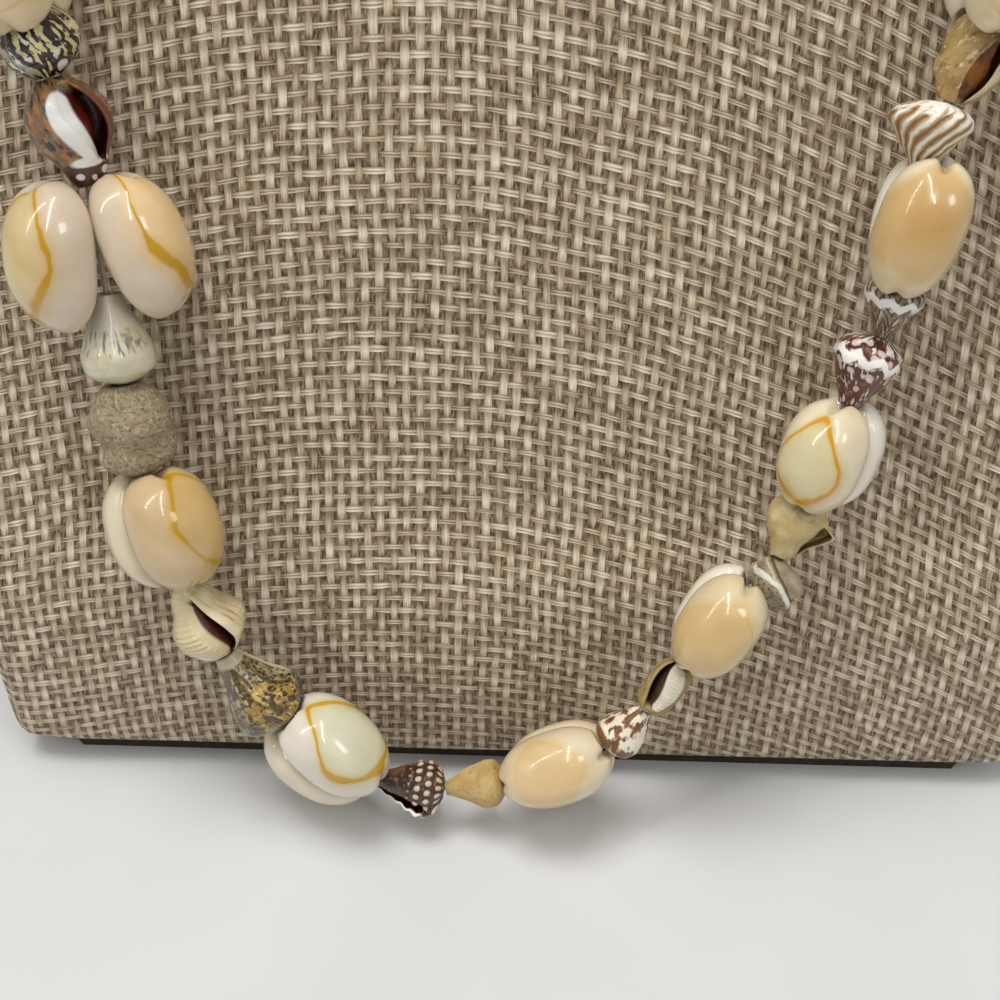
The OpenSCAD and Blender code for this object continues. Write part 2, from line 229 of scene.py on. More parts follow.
def ring_faces(rings, sides, flipped=False, capped=True):
    """Faces of a skin over rings of as many points each, closed at its two ends if capped."""
    faces = [(k * sides + j, k * sides + (j + 1) % sides,
              (k + 1) * sides + (j + 1) % sides, (k + 1) * sides + j)
             for k in range(rings - 1) for j in range(sides)]
    if capped:
        faces += [tuple(range(sides))[::-1], tuple((rings - 1) * sides + j for j in range(sides))]
    return [face[::-1] for face in faces] if flipped else faces


def bust_ring(height, inset=0.0):
    """A level ring of the form from the back seam round the front, points evenly spaced."""
    half_w, half_d, middle, power = [smooth_at(bust_sections, height, c) for c in (1, 2, 3, 4)]
    angle = np.linspace(math.pi / 2, -1.5 * math.pi, ring_samples)
    c, s = np.cos(angle), np.sin(angle)
    c[[0, -1]] = 0
    x = (half_w - inset) * np.sign(c) * np.abs(c) ** (2 / power)
    y = middle + (half_d - inset) * np.sign(s) * np.abs(s) ** (2 / power)
    run = summed(np.hypot(np.diff(x), np.diff(y)))
    even = np.linspace(0, run[-1], bust_round + 1)
    return np.stack([np.interp(even, run, x), np.interp(even, run, y),
                     np.full(bust_round + 1, height)], 1)


top = bust_sections[-1][0]
heights = [bust_sections[0][0], *edge_heights]
while heights[-1] < top - rim_round - bust_step:
    heights.append(heights[-1] + bust_step)
rings = [bust_ring(bust_sections[0][0], inset) for inset in underside_insets]
rings += [bust_ring(h) for h in heights]
for turn in (0, 25, 50, 70, 90):
    lift = rim_round * math.sin(math.radians(turn))
    rings.append(bust_ring(top, rim_round * (1 - math.cos(math.radians(turn))))
                 + [0, 0, lift - rim_round])
rings += [bust_ring(top, inset) for inset in top_insets]
rings = np.array(rings)
cloth = rings[:, :-1].reshape(-1, 3)
for p in cloth:
    # The burlap is drawn tight but not dead flat: it stands a little off the core in places
    off = np.array([p[0] / chest_half[0], (p[1] - chest_middle) / chest_half[1], 0])
    p += slack * noise.noise(Vector(p) / slack_size) * off
    # Up the back the cloth overlaps by a few mm, folded under and glued
    if p[1] > 0:
        p[1] += lap_rise / (1 + math.exp((abs(p[0] - lap_half) - lap_half) / lap_edge))

burlap, node = new_material("plain_woven_burlap")
# Jute yarns, flat and loosely spun, woven one over one. The eye sees short straight upright
# floats, thin doubled rows between them and brown gaps. Yarn steps are as measured, in mm.
warp_step = 1.86
weft_step = 1.93
row_slope = -0.13
warp_half = 0.27
weft_half = 0.2
yarn_sway = 0.24
yarn_swell = 0.22
weave = node("UVMap", uv_map="weave")
drift = node("TexNoise", {"Vector": weave, "Scale": 0.05, "Detail": 0.0})
nudge = node("VectorMath.MULTIPLY_ADD", drift.outputs["Color"], (1.2, 0.9, 0), weave)
split = node("SeparateXYZ", nudge)
lowered = node("Math.MULTIPLY_ADD", split.outputs[0], row_slope, split.outputs[1])
over = {"warp": node("Math.DIVIDE", split.outputs[0], warp_step),
        "weft": node("Math.DIVIDE", lowered, weft_step)}
yarns = {}
for kind, other, phase, half_width in (("warp", "weft", 0.5, warp_half),
                                       ("weft", "warp", 1.5, weft_half)):
    cell = node("Math.FLOOR", over[kind])
    # Each yarn wanders a little in its lane, and no two are equally thick or pale
    lane = node("CombineXYZ", node("Math.MULTIPLY", cell, 7.31),
                node("Math.MULTIPLY", over[other], 0.5), phase * 9)
    spin = node("TexNoise", {"Vector": lane, "Scale": 1.0, "Detail": 1.0})
    sway = node("Math.MULTIPLY_ADD", spin.outputs["Color"], yarn_sway, -0.5 - yarn_sway / 2)
    off = node("Math.ADD", node("Math.FRACT", over[kind]), sway)
    ahead = node("Math.ADD", node("Math.SUBTRACT", over[other], phase), cell)
    wave = node("Math.COSINE", node("Math.MULTIPLY", ahead, math.pi))
    breadth = node("Math.MULTIPLY_ADD", spin, yarn_swell, half_width - yarn_swell / 2)
    share = node("Math.ABSOLUTE", node("Math.DIVIDE", off, breadth))
    inside = node("Math.LESS_THAN", share, 1.0)
    if kind == "warp":
        edge = node("Math.POWER", share, 3.0)
    else:
        # A row yarn is two thin strands side by side
        strand = node("Math.MULTIPLY_ADD", share, 2.0, -1.0)
        edge = node("Math.MULTIPLY", node("Math.MULTIPLY", strand, strand), 0.8)
    dome = node("Math.SUBTRACT", 1.0, edge)
    lift = node("Math.MULTIPLY_ADD", wave, 0.5, node("Math.MULTIPLY", dome, 0.45))
    height = node("Math.SUBTRACT", node("Math.MULTIPLY", node("Math.ADD", lift, 2.0), inside), 2.0)
    # Fibres 0.05 mm thick would not show, so they are drawn about 0.2 mm thick
    grain = node("CombineXYZ", node("Math.MULTIPLY", over[kind], 9.0),
                 node("Math.MULTIPLY", over[other], 0.8), phase * 5)
    fibre = node("TexNoise", {"Vector": grain, "Scale": 1.0, "Detail": 2.0, "Roughness": 0.6})
    yarns[kind] = height, spin, fibre
upper = node("Math.GREATER_THAN", yarns["warp"][0], yarns["weft"][0])
level, spin, fibre = [node("Mix", {0: upper, 2: yarns["weft"][k], 3: yarns["warp"][k]})
                      for k in range(3)]
# Painted shade in the gaps: short dark and light upright strokes for the shadowed far side
gap = node("Math.LESS_THAN", level, -1.0)
far = node("TexNoise", {"Vector": node("VectorMath.MULTIPLY", nudge, (2.6, 0.8, 1)), "Scale": 1.0,
                        "Detail": 1.0})
far_depth_and_shade = node("Math.MULTIPLY_ADD", far, 2.2, -1.6)
level = node("Mix", {0: gap, 2: level, 3: far_depth_and_shade})
spin = node("Mix", {0: gap, 2: spin, 3: 0.5})
fibre = node("Mix", {0: gap, 2: fibre, 3: 0.5})
pale = node("MapRange", {"Value": spin, "From Min": 0.3, "From Max": 0.7, "To Max": 0.42})
streak = node("MapRange", {"Value": fibre, "From Min": 0.3, "From Max": 0.7, "To Max": 0.46})
# Painted shade: yarns darker where they dip under the next and at their edges
shade = node("Math.ADD", node("Math.MULTIPLY_ADD", level, 0.4, -0.02),
             node("Math.ADD", pale, streak))
tone = node("ValToRGB", shade, stops=[
    (0.0, "#38291b"), (0.16, "#65513b"), (0.42, "#9c896e"), (0.68, "#b8a68b"), (1.0, "#d8ccb6")])
raised = node("Math.MULTIPLY_ADD", fibre, 0.35, level)
relief = node("Bump", {"Height": raised, "Strength": 1.0, "Distance": 0.3 * mm})
node("OutputMaterial", node("BsdfPrincipled", {
    "Base Color": tone, "Roughness": 0.85, "IOR": 1.5, "Normal": relief,
    "Sheen Weight": 0.12, "Sheen Roughness": 0.5}))

bust = mesh_piece("burlap_bust", cloth * mm, ring_faces(len(rings), bust_round), [burlap])
# Yarn places in mm: across from the middle of the front, and up along the cloth
climb = np.stack([summed(steps) for steps in np.linalg.norm(np.diff(rings, axis=0), axis=2).T], 1)
around = np.stack([summed(steps) for steps in np.linalg.norm(np.diff(rings, axis=1), axis=2)])
around -= around[:, -1:] / 2
# Over the shoulders the cloth is drawn together, so its upright yarns run in towards the neck.
# The neck has a strip of its own, and a flat round piece lies on top.
top_row = len(rings) - len(top_insets) - 1
shoulder_row, neck_row = np.searchsorted(rings[:top_row + 1, 0, 2],
                                         (shoulder_height, neck_height))
drawn = around.copy()
drawn[shoulder_row:neck_row + 1] = around[shoulder_row]
layer = bust.data.uv_layers.new(name="weave")
flat = []
for face in bust.data.polygons:
    lowest = min(v // bust_round for v in face.vertices)
    for v in face.vertices:
        r, k = divmod(v, bust_round)
        if k == 0 and any(u % bust_round == bust_round - 1 for u in face.vertices):
            k = bust_round
        if lowest >= top_row:
            flat += [rings[r, k, 0], rings[r, k, 1]]
        elif lowest >= neck_row:
            flat += [around[r, k], rings[r, k, 2]]
        else:
            flat += [drawn[r, k], climb[r, k]]
layer.data.foreach_set("uv", flat)
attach(bust, "root")
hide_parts("bust_form")

# The nylon thread that carries every shell: clear drawn monofilament, straight inside a shell
# and bent in the gap to the next, its ends glued into the clasp.
thread_d = 0.7
bead_gap = 0.35
clasp_l = 12
clasp_y = 59
clasp_z = 173
thread_end = 2.5
clasp_gap = 0.6
shown_start = 141
route_steps = 6
# The thread's way in mm: from the clasp over the one shoulder, down the chest, round and back
route_points = [
    (-clasp_l / 2, clasp_y, clasp_z), (-18, 57.4, 173), (-31.5, 50.5, 173), (-45, 37, 173),
    (-53.5, 19.5, 172), (-57, 2, 168), (-60, -15, 159), (-61.5, -27, 145), (-62, -33, 131),
    (-60.5, -36, 118), (-58.5, -36.6, 109), (-55.5, -37.5, 98), (-54, -40.5, 85),
    (-53.5, -42.5, 74), (-52.5, -45, 62), (-49.5, -48.5, 49), (-44, -51.5, 36.5),
    (-38.2, -53, 24.5), (-29.5, -54.5, 13), (-16, -55.5, 9), (-6, -55.5, 9.2), (6.8, -55, 12.5),
    (15.2, -54, 20.7), (20.6, -53.5, 29.5), (25.2, -52, 40.6), (33.3, -50, 46.2),
    (37, -47.6, 53), (38.4, -46, 63), (41.4, -43.5, 73), (43.8, -42, 80.5), (45.3, -40.8, 92),
    (45.8, -39, 101), (47.8, -37, 109.5), (50, -36.4, 118), (53.6, -34.4, 131),
    (58, -28.5, 145), (60, -15, 159), (57, 2, 168), (53.5, 19.5, 172), (45, 37, 173),
    (31.5, 50.5, 173), (18, 57.4, 173), (clasp_l / 2, clasp_y, clasp_z)]
# The beads in the order of the thread, in mm and degrees: kind, length, width and pitch. Then a
# pair has its notched end first (1) or last (-1), reach, facing, cup, splay front and back and
# swing front and back, and a snail shell its narrow end first or last, turn, lean and shift.
shown = [
    ("pair", 18, 12.2, 14, 1, -1.2, 5, 0, 4, 2, 0, 0), ("spire", 9.4, 9.8, 9.8, 1, 330, 0, -0.2),
    ("spire", 12.4, 11, 12.8, -1, 20, 4, 0), ("pair", 18.6, 12, 12.7, 1, 1.4, 111, 28, 16, 6, 0, 0),
    ("cone", 11.4, 10, 11.7, 1, 330, 0, 0), ("worn", 11.8, 11, 12.2, 1, 330, 0, 0),
    ("pair", 17.2, 12.2, 16.2, 1, 0.4, 52, 0, 3, 3, -4, -8),
    ("spire", 11.6, 11.4, 12, 1, 100, 0, -0.6), ("cone", 13.6, 11.6, 13.9, 1, 330, 0, 0),
    ("pair", 18, 12.2, 17.1, 1, 0.5, 66, 0, 2, 2, -10, -6), ("cone", 10.3, 7.8, 10.7, 1, 190, 0, 0),
    ("cone", 8.9, 7.4, 9.2, 1, 330, 0, 0), ("pair", 16.9, 10.8, 16.5, -1, 0.4, 34, 0, 2, 2, 5, 5),
    ("cone", 8.3, 8, 8.6, -1, 210, 0, 0), ("worn", 8.8, 6.4, 9.1, -1, 25, 0, -0.4),
    ("pair", 15.8, 10.6, 15, -1, 1.5, 20, 0, 2, 2, -5, -5),
    ("worn", 5.9, 7.8, 6.6, 1, 330, 0, -2.2), ("spire", 8.7, 9, 9, 1, 165, 0, 1.2),
    ("pair", 15.4, 10.8, 13.3, -1, 1, 42, 0, 2, 2, 0, 0), ("cone", 9.2, 9.2, 9.5, 1, 330, 0, 0),
    ("cone", 7.6, 7.8, 7.9, 1, 330, 0, 0), ("pair", 17, 10.4, 12.7, -1, 2, 14, 0, 3, 2, 7, 0),
    ("cone", 7.3, 9.6, 7.6, 1, 330, 0, 1.4), ("worn", 9.7, 8, 10, 1, 165, 0, 0),
    ("pair", 18, 12.2, 14.5, -1, 1, 0, 0, 2, 2, 0, 0)]
group = [
    ("cone", 8.6, 8.2, 9.4, 1, 330, 0, 0), ("spire", 8.6, 8.4, 9.4, 1, 90, 0, 0),
    ("pair", 15.8, 11.4, 16.2, -1, 0, 0, 0, 2, 2, 0, 0)]
behind_groups = 4
PITCH = 3
END = 4


def spline(a, b, c, d, t):
    """A smooth curve through four points, at t from the second to the third."""
    return 0.5 * (2 * b + (c - a) * t + (2 * a - 5 * b + 4 * c - d) * t * t
                  + (3 * b - a - 3 * c + d) * t ** 3)


knots = np.array(route_points[:1] + route_points + route_points[-1:], float)
route = np.array([spline(*knots[i:i + 4], k / route_steps)
                  for i in range(len(route_points) - 1) for k in range(route_steps)] + [knots[-1]])
route_run = summed(np.linalg.norm(np.diff(route, axis=0), axis=1))


def on_route(s):
    """The place s mm along the thread."""
    return np.array([np.interp(s, route_run, route[:, axis]) for axis in range(3)])


behind = group * behind_groups
behind_pitch = sum(row[PITCH] for row in behind)
shown_end = shown_start + sum(row[PITCH] for row in shown)
left_share = (shown_start - clasp_gap) / behind_pitch
right_share = (route_run[-1] - clasp_gap - shown_end) / behind_pitch
beads = ([row[:PITCH] + (row[PITCH] * left_share, -row[END]) + row[END + 1:]
          for row in behind[::-1]]
         + shown + [row[:PITCH] + (row[PITCH] * right_share,) + row[END:] for row in behind])
bead_starts = clasp_gap + summed([row[PITCH] for row in beads])


def unit(v):
    return v / np.linalg.norm(v)


def outwards(p):
    """Level direction straight out from the bust beside a point."""
    levels, *columns = zip(*bust_sections)
    half_w, half_d, middle, power = [np.interp(p[2], levels, column) for column in columns]
    x, y = p[0] / half_w, (p[1] - middle) / half_d
    return unit(np.array([math.copysign(abs(x) ** (power - 1), x) / half_w,
                          math.copysign(abs(y) ** (power - 1), y) / half_d, 0]))


def bead_ends(i):
    """Where the thread enters and leaves a bead."""
    return on_route(bead_starts[i] + bead_gap / 2), on_route(bead_starts[i + 1] - bead_gap / 2)


def bead_frame(i):
    """A bead's own frame: x to the loop's inside, y out from the bust, z along the thread."""
    start, end = bead_ends(i)
    middle, along, out = (start + end) / 2, unit(end - start), outwards((start + end) / 2)
    facing = unit(out - np.dot(out, along) * along)
    columns = (np.cross(facing, along), facing, along, middle)
    return Matrix([[column[r] for column in columns] for r in range(3)] + [[0, 0, 0, 1]])


tail = np.array([thread_end, 0, 0])
line = [on_route(0) + tail, on_route(0)]
for i in range(len(beads)):
    line += bead_ends(i)
line = np.array(line + [on_route(route_run[-1]), on_route(route_run[-1]) - tail])
tube_sides = 12
points = []
for k, here in enumerate(line):
    along = unit(line[min(len(line) - 1, k + 1)] - line[max(0, k - 1)])
    across = unit(np.cross(outwards(here), along))
    lift = np.cross(along, across)
    for a in range(tube_sides):
        angle = 2 * math.pi * a / tube_sides
        points.append(here + thread_d / 2 * (across * math.cos(angle) + lift * math.sin(angle)))

nylon, node = new_material("drawn_clear_nylon")
# Drawn nylon is clear and smooth, with fine lengthwise die marks that break up its shine
place = node("TexCoord").outputs["Object"]
marks = node("TexNoise", {"Vector": place, "Scale": 1 / (0.5 * mm), "Detail": 3.0})
tone = node("ValToRGB", marks, stops=[(0.3, "#cfcabb"), (0.7, "#e9e6dc")])
gloss = node("MapRange", {"Value": marks, "To Min": 0.12, "To Max": 0.3})
node("OutputMaterial", node("BsdfPrincipled", {
    "Base Color": tone, "Roughness": gloss, "IOR": 1.53, "Transmission Weight": 0.6}))
thread = mesh_piece("nylon_thread", np.array(points) * mm, ring_faces(len(line), tube_sides),
                    [nylon])
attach(thread, "root")
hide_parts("thread")

# Money cowries in pairs, base to base, drilled for the thread. The living animal lays down the
# enamel: a smooth dome with a thick callus round it and a gold ring where they meet, and below
# a long toothed slit that ends in a notch.
dome_share = 0.72
tip_share = 0.2
base_gap = 0.5
cup_share = 0.4
nest_gap = 0.3
grinding_step = 0.1
grinding_most = 45
cowrie_rings = 84
cowrie_section = [(0, 1), (0.28, 0.985), (0.55, 0.92), (0.75, 0.8), (0.89, 0.64), (0.975, 0.46),
                  (1, 0.3), (0.965, 0.15), (0.87, 0.05), (0.7, 0.0)]
base_places = [0.58, 0.46, 0.36, 0.27, 0.2, 0.15, 0.11, 0.08, 0.05, 0.02, 0]
dome_points = 26
section_steps = 12
slit_points = 5
slit_half = 0.04
slit_flare = 0.04
slit_depth = 1.6
teeth = 13
tooth_height = 0.22
tooth_reach = 0.13
notch_deep = 1.2
notch_shallow = 0.7
notch_half = 0.07
tip_depths = (0.9, 0.6)
swelling = 0.1
swelling_size = 5
seed_step = 7.7
# The unevenness is the same in each run
noise.seed_set(5)


def half_section():
    """Half a cowrie's section from the top of the dome to the middle of the base, evenly spaced."""
    rows = np.array(cowrie_section[:1] + cowrie_section + cowrie_section[-1:], float)
    dense = np.array([spline(*rows[k:k + 4], t) for k in range(len(cowrie_section) - 1)
                      for t in np.linspace(0, 1, section_steps, endpoint=False)] + [rows[-1]])
    run = summed(np.hypot(*np.diff(dense, axis=0).T))
    even = np.linspace(0, run[-1], dome_points)
    upper = np.stack([np.interp(even, run, dense[:, 0]), np.interp(even, run, dense[:, 1])], 1)
    return np.concatenate([upper, [(x, 0) for x in base_places]])


def cowrie_points(length, width, rings, seed):
    """Points of a cowrie along +Z from its notched end, its faces, and for each point its place
    round and along and how near the slit it lies."""
    half = half_section()
    sides = 2 * len(half) - 2
    points, places = [], []
    for k in range(rings):
        # Rings crowd to the ends, where the shell rounds off like an egg
        t = (1 - math.cos(math.pi * (k + 0.35) / (rings - 0.3))) / 2
        wide = width / 2 * (1 - abs(2 * t ** 0.92 - 1) ** 2.5) ** 0.55
        low = width * tip_share * (1 - (1 - abs(2 * t - 1) ** 3) ** 0.6)
        crown = (1 - abs(2 * t ** 0.95 - 1) ** 2.3) ** 0.6
        high = width * (tip_share + (dome_share - tip_share) * crown)
        for j in range(sides):
            m, flank = (j, 1) if j < len(half) else (sides - j, -1)
            x, y, z = flank * half[m, 0] * wide, low + half[m, 1] * (high - low), t * length
            # The slit between the toothed lips is wider at its ends
            if m >= dome_points:
                gape = (slit_half + slit_flare * (2 * t - 1) ** 2) * width
                tooth = 0.5 + 0.5 * math.cos(2 * math.pi * t * teeth)
                y += (slit_depth * math.exp(-(x / gape) ** 4) + tooth_height * tooth
                      * math.exp(-(x / (tooth_reach * width)) ** 2)) * math.sin(math.pi * t) ** 0.3
            # A notch through each end, deeper at the front end than at the back
            for depth, far, end in ((notch_deep, t * length, 1),
                                    (notch_shallow, (1 - t) * length, -1)):
                z += (end * depth * math.exp(-(x / (notch_half * width)) ** 2)
                      * math.exp(-(far / (notch_half * length)) ** 2))
            points.append((x, y, z))
            places.append((flank * min(m, dome_points) / dome_points, t,
                           1.0 if m >= len(half) - slit_points else 0.0))
    middle = width * tip_share
    points += [(0, middle, tip_depths[0]), (0, middle, length - tip_depths[1])]
    places += [(1, 0, 0), (1, 1, 0)]
    faces = ring_faces(rings, sides, flipped=True, capped=False)
    low_tip, high_tip = len(points) - 2, len(points) - 1
    for j in range(sides):
        faces.append((low_tip, j, (j + 1) % sides))
        faces.append((high_tip, (rings - 1) * sides + (j + 1) % sides, (rings - 1) * sides + j))
    points = np.array(points)
    # Shells grow a little unevenly
    for p in points:
        p += swelling * np.array(noise.noise_vector(Vector(p) / swelling_size
                                                    + Vector((seed * seed_step, 0, 0))))
    return points, faces, np.array(places)


def in_frame(points, matrix):
    """Points moved by a matrix."""
    turned = np.array(matrix)
    return points @ turned[:3, :3].T + turned[:3, 3]


def cowrie_matrix(i, side):
    """Where one cowrie of a pair lies: side is 1 for the front one and -1 for the back one."""
    (kind, length, width, pitch, end, reach, facing, cup, splay_front, splay_back,
     swing_front, swing_back) = beads[i]
    notched = (pitch - bead_gap) / 2 + reach
    rise = base_gap / 2 + cup_share * width * math.sin(math.radians(cup))
    splay = splay_front if side > 0 else splay_back
    swing = swing_front if side > 0 else -swing_back
    return (bead_frame(i) @ Matrix.Diagonal((1, 1, end, 1))
            @ turned_by((0 if side > 0 else 180) - facing, "Z")
            @ Matrix.Translation((0, rise, length / 2 - notched))
            @ turned_by(side * cup, "Z") @ turned_by(-splay, "X")
            @ turned_by(swing, "Y") @ Matrix.Translation((0, 0, -length / 2)))


# Outlines of the snail shells that nest in the cowries' ends: share of length, share of width
outlines = {
    "cone": [(0, 0.3), (0.12, 0.42), (0.3, 0.62), (0.5, 0.84), (0.68, 1), (0.82, 0.96),
             (0.93, 0.7), (1, 0.34)],
    "spire": [(0, 0.28), (0.14, 0.5), (0.28, 0.66), (0.42, 0.86), (0.58, 1), (0.74, 0.95),
              (0.9, 0.7), (1, 0.42)],
    "worn": [(0, 0.5), (0.1, 0.78), (0.28, 0.95), (0.48, 1), (0.66, 0.92), (0.82, 0.9),
             (0.94, 0.72), (1, 0.46)]}


def snail_matrix(i):
    """Where a snail shell lies: its axis on the thread, narrow end first or last."""
    kind, length, width, pitch, tip, turn, lean, shift = beads[i]
    return (bead_frame(i) @ Matrix.Translation((shift, 0, 0))
            @ turned_by(turn, "Z") @ turned_by(lean, "Y") @ turned_by(0 if tip > 0 else 180, "X"))


def ground_away(points, i):
    """Grinds a cowrie back, along the thread, where a neighbour's end nests in it."""
    for near in (i - 1, i + 1):
        if not 0 <= near < len(beads) or beads[near][0] == "pair":
            continue
        kind, length, width = beads[near][:3]
        shares, sizes = zip(*outlines[kind])
        back = snail_matrix(near).inverted()
        start, end = bead_ends(i)
        step = unit(end - start) * (grinding_step if near < i else -grinding_step)
        for _ in range(grinding_most):
            own = in_frame(points, back)
            share = own[:, 2] / (length + 2 * nest_gap) + 0.5
            reach = np.interp(share, shares, sizes) * (width / 2 + nest_gap)
            hit = (share > 0) & (share < 1) & (np.hypot(own[:, 0], own[:, 1]) < reach)
            if not hit.any():
                break
            points[hit] += step
    return points


underside = "#e2d7c2"


def glazed_cowrie(name, dome, rim, ring, callus, ring_width=0.3, ring_keep=1.0):
    """Enamel laid down in layers: glassy, a bit waxy, coloured by distance from the gold ring."""
    material, node = new_material(name)
    place = node("TexCoord").outputs["Object"]
    from_ring = node("Attribute", attribute_name="from_ring").outputs["Fac"]
    slit = node("Attribute", attribute_name="slit").outputs["Fac"]
    wander = node("TexNoise", {"Vector": place, "Scale": 1 / (5 * mm), "Detail": 2.0})
    edge = node("Math.ADD", from_ring, node("Math.MULTIPLY_ADD", wander, 1.4, -0.7))
    spot = node("MapRange", {"Value": edge, "From Min": -3.0, "From Max": 3.0})
    coat = node("ValToRGB", spot, stops=[(0.0, dome), (0.48, rim), (0.75, callus)])
    # The ring is a clean line, thicker in some places, that fades out in others
    swell = node("TexNoise", {"Vector": place, "Scale": 1 / (6 * mm), "Detail": 0.0})
    breadth = node("MapRange", {"Value": swell, "From Min": 0.35, "From Max": 0.65,
                                "To Min": ring_width * 0.45, "To Max": ring_width * 1.5})
    near = node("Math.DIVIDE", node("Math.ABSOLUTE", edge), breadth)
    for outer, inner, keep in ((3.5, 0.8, ring_keep * 0.3), (1.25, 0.6, ring_keep)):
        cover = node("MapRange", {"Value": near, "From Min": outer, "From Max": inner,
                                  "To Max": keep})
        coat = node("Mix", {0: cover, 6: coat, 7: ring}, data_type="RGBA")
    cloud = node("TexNoise", {"Vector": place, "Scale": 1 / (4 * mm), "Detail": 5.0})
    veil = node("ValToRGB", cloud, stops=[(0.3, "#efe6d6"), (0.7, "#ffffff")])
    # The underside's own cream, going near black in the slit: painted shade down the deep slit
    under = node("ValToRGB", slit, stops=[(0.0, "#ffffff"), (0.5, underside), (0.8, "#7d5a38"),
                                          (1.0, "#2a1710")])
    for cover, tint in ((0.6, veil), (1.0, under)):
        coat = node("Mix", {0: cover, 6: coat, 7: tint}, data_type="RGBA", blend_type="MULTIPLY")
    # Growth ripples about 1.5 mm apart break the shine into streaks
    ripple = node("TexNoise", {"Vector": place, "Scale": 1 / (1.6 * mm), "Detail": 1.0})
    relief = node("Bump", {"Height": ripple, "Strength": 0.5, "Distance": 0.12 * mm})
    gloss = node("MapRange", {"Value": cloud, "To Min": 0.14, "To Max": 0.3})
    node("OutputMaterial", node("BsdfPrincipled", {
        "Base Color": coat, "Roughness": gloss, "IOR": 1.55, "Normal": relief,
        "Subsurface Weight": 0.2, "Subsurface Radius": (1.0, 0.7, 0.45),
        "Subsurface Scale": 1.0 * mm, "Coat Weight": 0.7, "Coat Roughness": 0.04,
        "Coat IOR": 1.5}))
    return material


def placed_cowrie(i, side, rings):
    """One cowrie of a pair where it lies, ground to fit its neighbours."""
    points, faces, places = cowrie_points(beads[i][1], beads[i][2], rings, i * 2 + side)
    if beads[i][END] < 0:
        faces = [face[::-1] for face in faces]
    return ground_away(in_frame(points, cowrie_matrix(i, side)), i), faces, places


def ring_facts(places, share=0.6, span=(0.16, 0.88), slant=0.0, shift=0.0):
    """For each point: how many mm it lies outside the gold ring, and how near the slit. The ring
    is a drop, narrower towards the thin end, share of the way down the flanks and between span's
    ends of the length. Slant slides it over the dome from end to end, shift evenly."""
    middle, half_span = (span[0] + span[1]) / 2, (span[1] - span[0]) / 2
    along = (places[:, 1] - middle) / half_span
    half_wide = share * np.clip(1 + ring_taper * along, 0.5, 1 + ring_taper)
    across = np.abs(places[:, 0] - shift - slant * (places[:, 1] - middle)) / half_wide
    apart = (across ** ring_power + np.abs(along) ** ring_power) ** (1 / ring_power) - 1
    return np.stack([apart * ring_reach, places[:, 2]], 1)


def mark_points(piece, labels, facts):
    """Gives each point of a piece the numbers that its finish reads."""
    for label, values in zip(labels, facts.T):
        piece.data.attributes.new(label, "FLOAT", "POINT").data.foreach_set("value", values)


first_bead = len(behind)
last_bead = first_bead + len(shown)
ring_taper = 0.4
ring_power = 1.7
ring_reach = 4.2
cowrie_looks = [
    # for the front and back one: dome, rim, ring, callus, ring's width and strength, and where
    # the ring isn't in its common place: share, span, slant, shift
    (("#d7be8e", "#dfca9f", "#c9a040", "#ddceb0", 0.2, 0.3),
     ("#d7c295", "#dfcea5", "#c9a440", "#ddceb0", 0.2, 0.3)),
    (("#e4c494", "#e0c294", "#c0920a", "#d1c0a8", 0.27, 1.0, 0.48, (-0.04, 0.86), 0.5),
     ("#ccb780", "#ceb88c", "#bc8e08", "#d2c1ac", 0.26, 1.0, 0.46, (0.02, 0.92), -0.3)),
    (("#c6a86c", "#c8a974", "#b8900c", "#c8ae86", 0.22, 1.0, 0.5, (0.04, 0.86), 0.5, 0.28),
     ("#ddd3b5", "#dfd5b9", "#d1b369", "#ddd3b8", 0.2, 0.1, 0.6, (0.16, 0.9))),
    (("#cecdb4", "#d2cdb0", "#c2980a", "#dcd5c9", 0.27, 1.0, 0.5, (0.12, 0.88)),
     ("#dbceae", "#ddd0b2", "#d7bc81", "#dfd5bf", 0.2, 0.1)),
    (("#d8bc8c", "#d8be90", "#d49a43", "#dbccae", 0.2, 0.12, 0.52, (0.2, 0.8)),
     ("#d7bf8e", "#decaa3", "#d1a354", "#ddceae", 0.2, 0.1)),
    (("#ccae78", "#d0b482", "#c99636", "#d6c6a2", 0.2, 0.2, 0.6, (0.16, 0.86)),
     ("#e0d9c4", "#e1dac8", "#d5b978", "#e1dbca", 0.2, 0.1)),
    (("#d1c69e", "#d4c698", "#c8940c", "#ddd0b2", 0.26, 1.0, 0.42, (0.14, 0.86)),
     ("#e2ddcc", "#e2ddce", "#d7bf87", "#e3ded1", 0.2, 0.1)),
    (("#c49f64", "#ceb07c", "#cb9d4b", "#dfd3b5", 0.2, 0.0, 0.66, (0.02, 0.8)),
     ("#e0d9c6", "#e2dcca", "#d5bf8a", "#e3ded1", 0.2, 0.1)),
    (("#d7c69b", "#dfcea5", "#d1a650", "#dfd3b4", 0.2, 0.3),
     ("#dbcaa3", "#e0d3ae", "#d1aa63", "#e0d7bf", 0.2, 0.2))]
pair_beads = [i for i in range(first_bead, last_bead) if beads[i][0] == "pair"]
for n, (i, looks) in enumerate(zip(pair_beads, cowrie_looks), 1):
    for side, where, look in ((1, "front", looks[0]), (-1, "back", looks[1])):
        enamel = glazed_cowrie(f"cowrie_enamel_{n}_{where}", *look[:6])
        points, faces, places = placed_cowrie(i, side, cowrie_rings)
        shell = mesh_piece(f"money_cowrie_{n}_{where}", points * mm, faces, [enamel])
        mark_points(shell, ("from_ring", "slit"), ring_facts(places, *look[6:]))
        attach(shell, "root")
        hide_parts(f"cowrie_{where}_{n}")

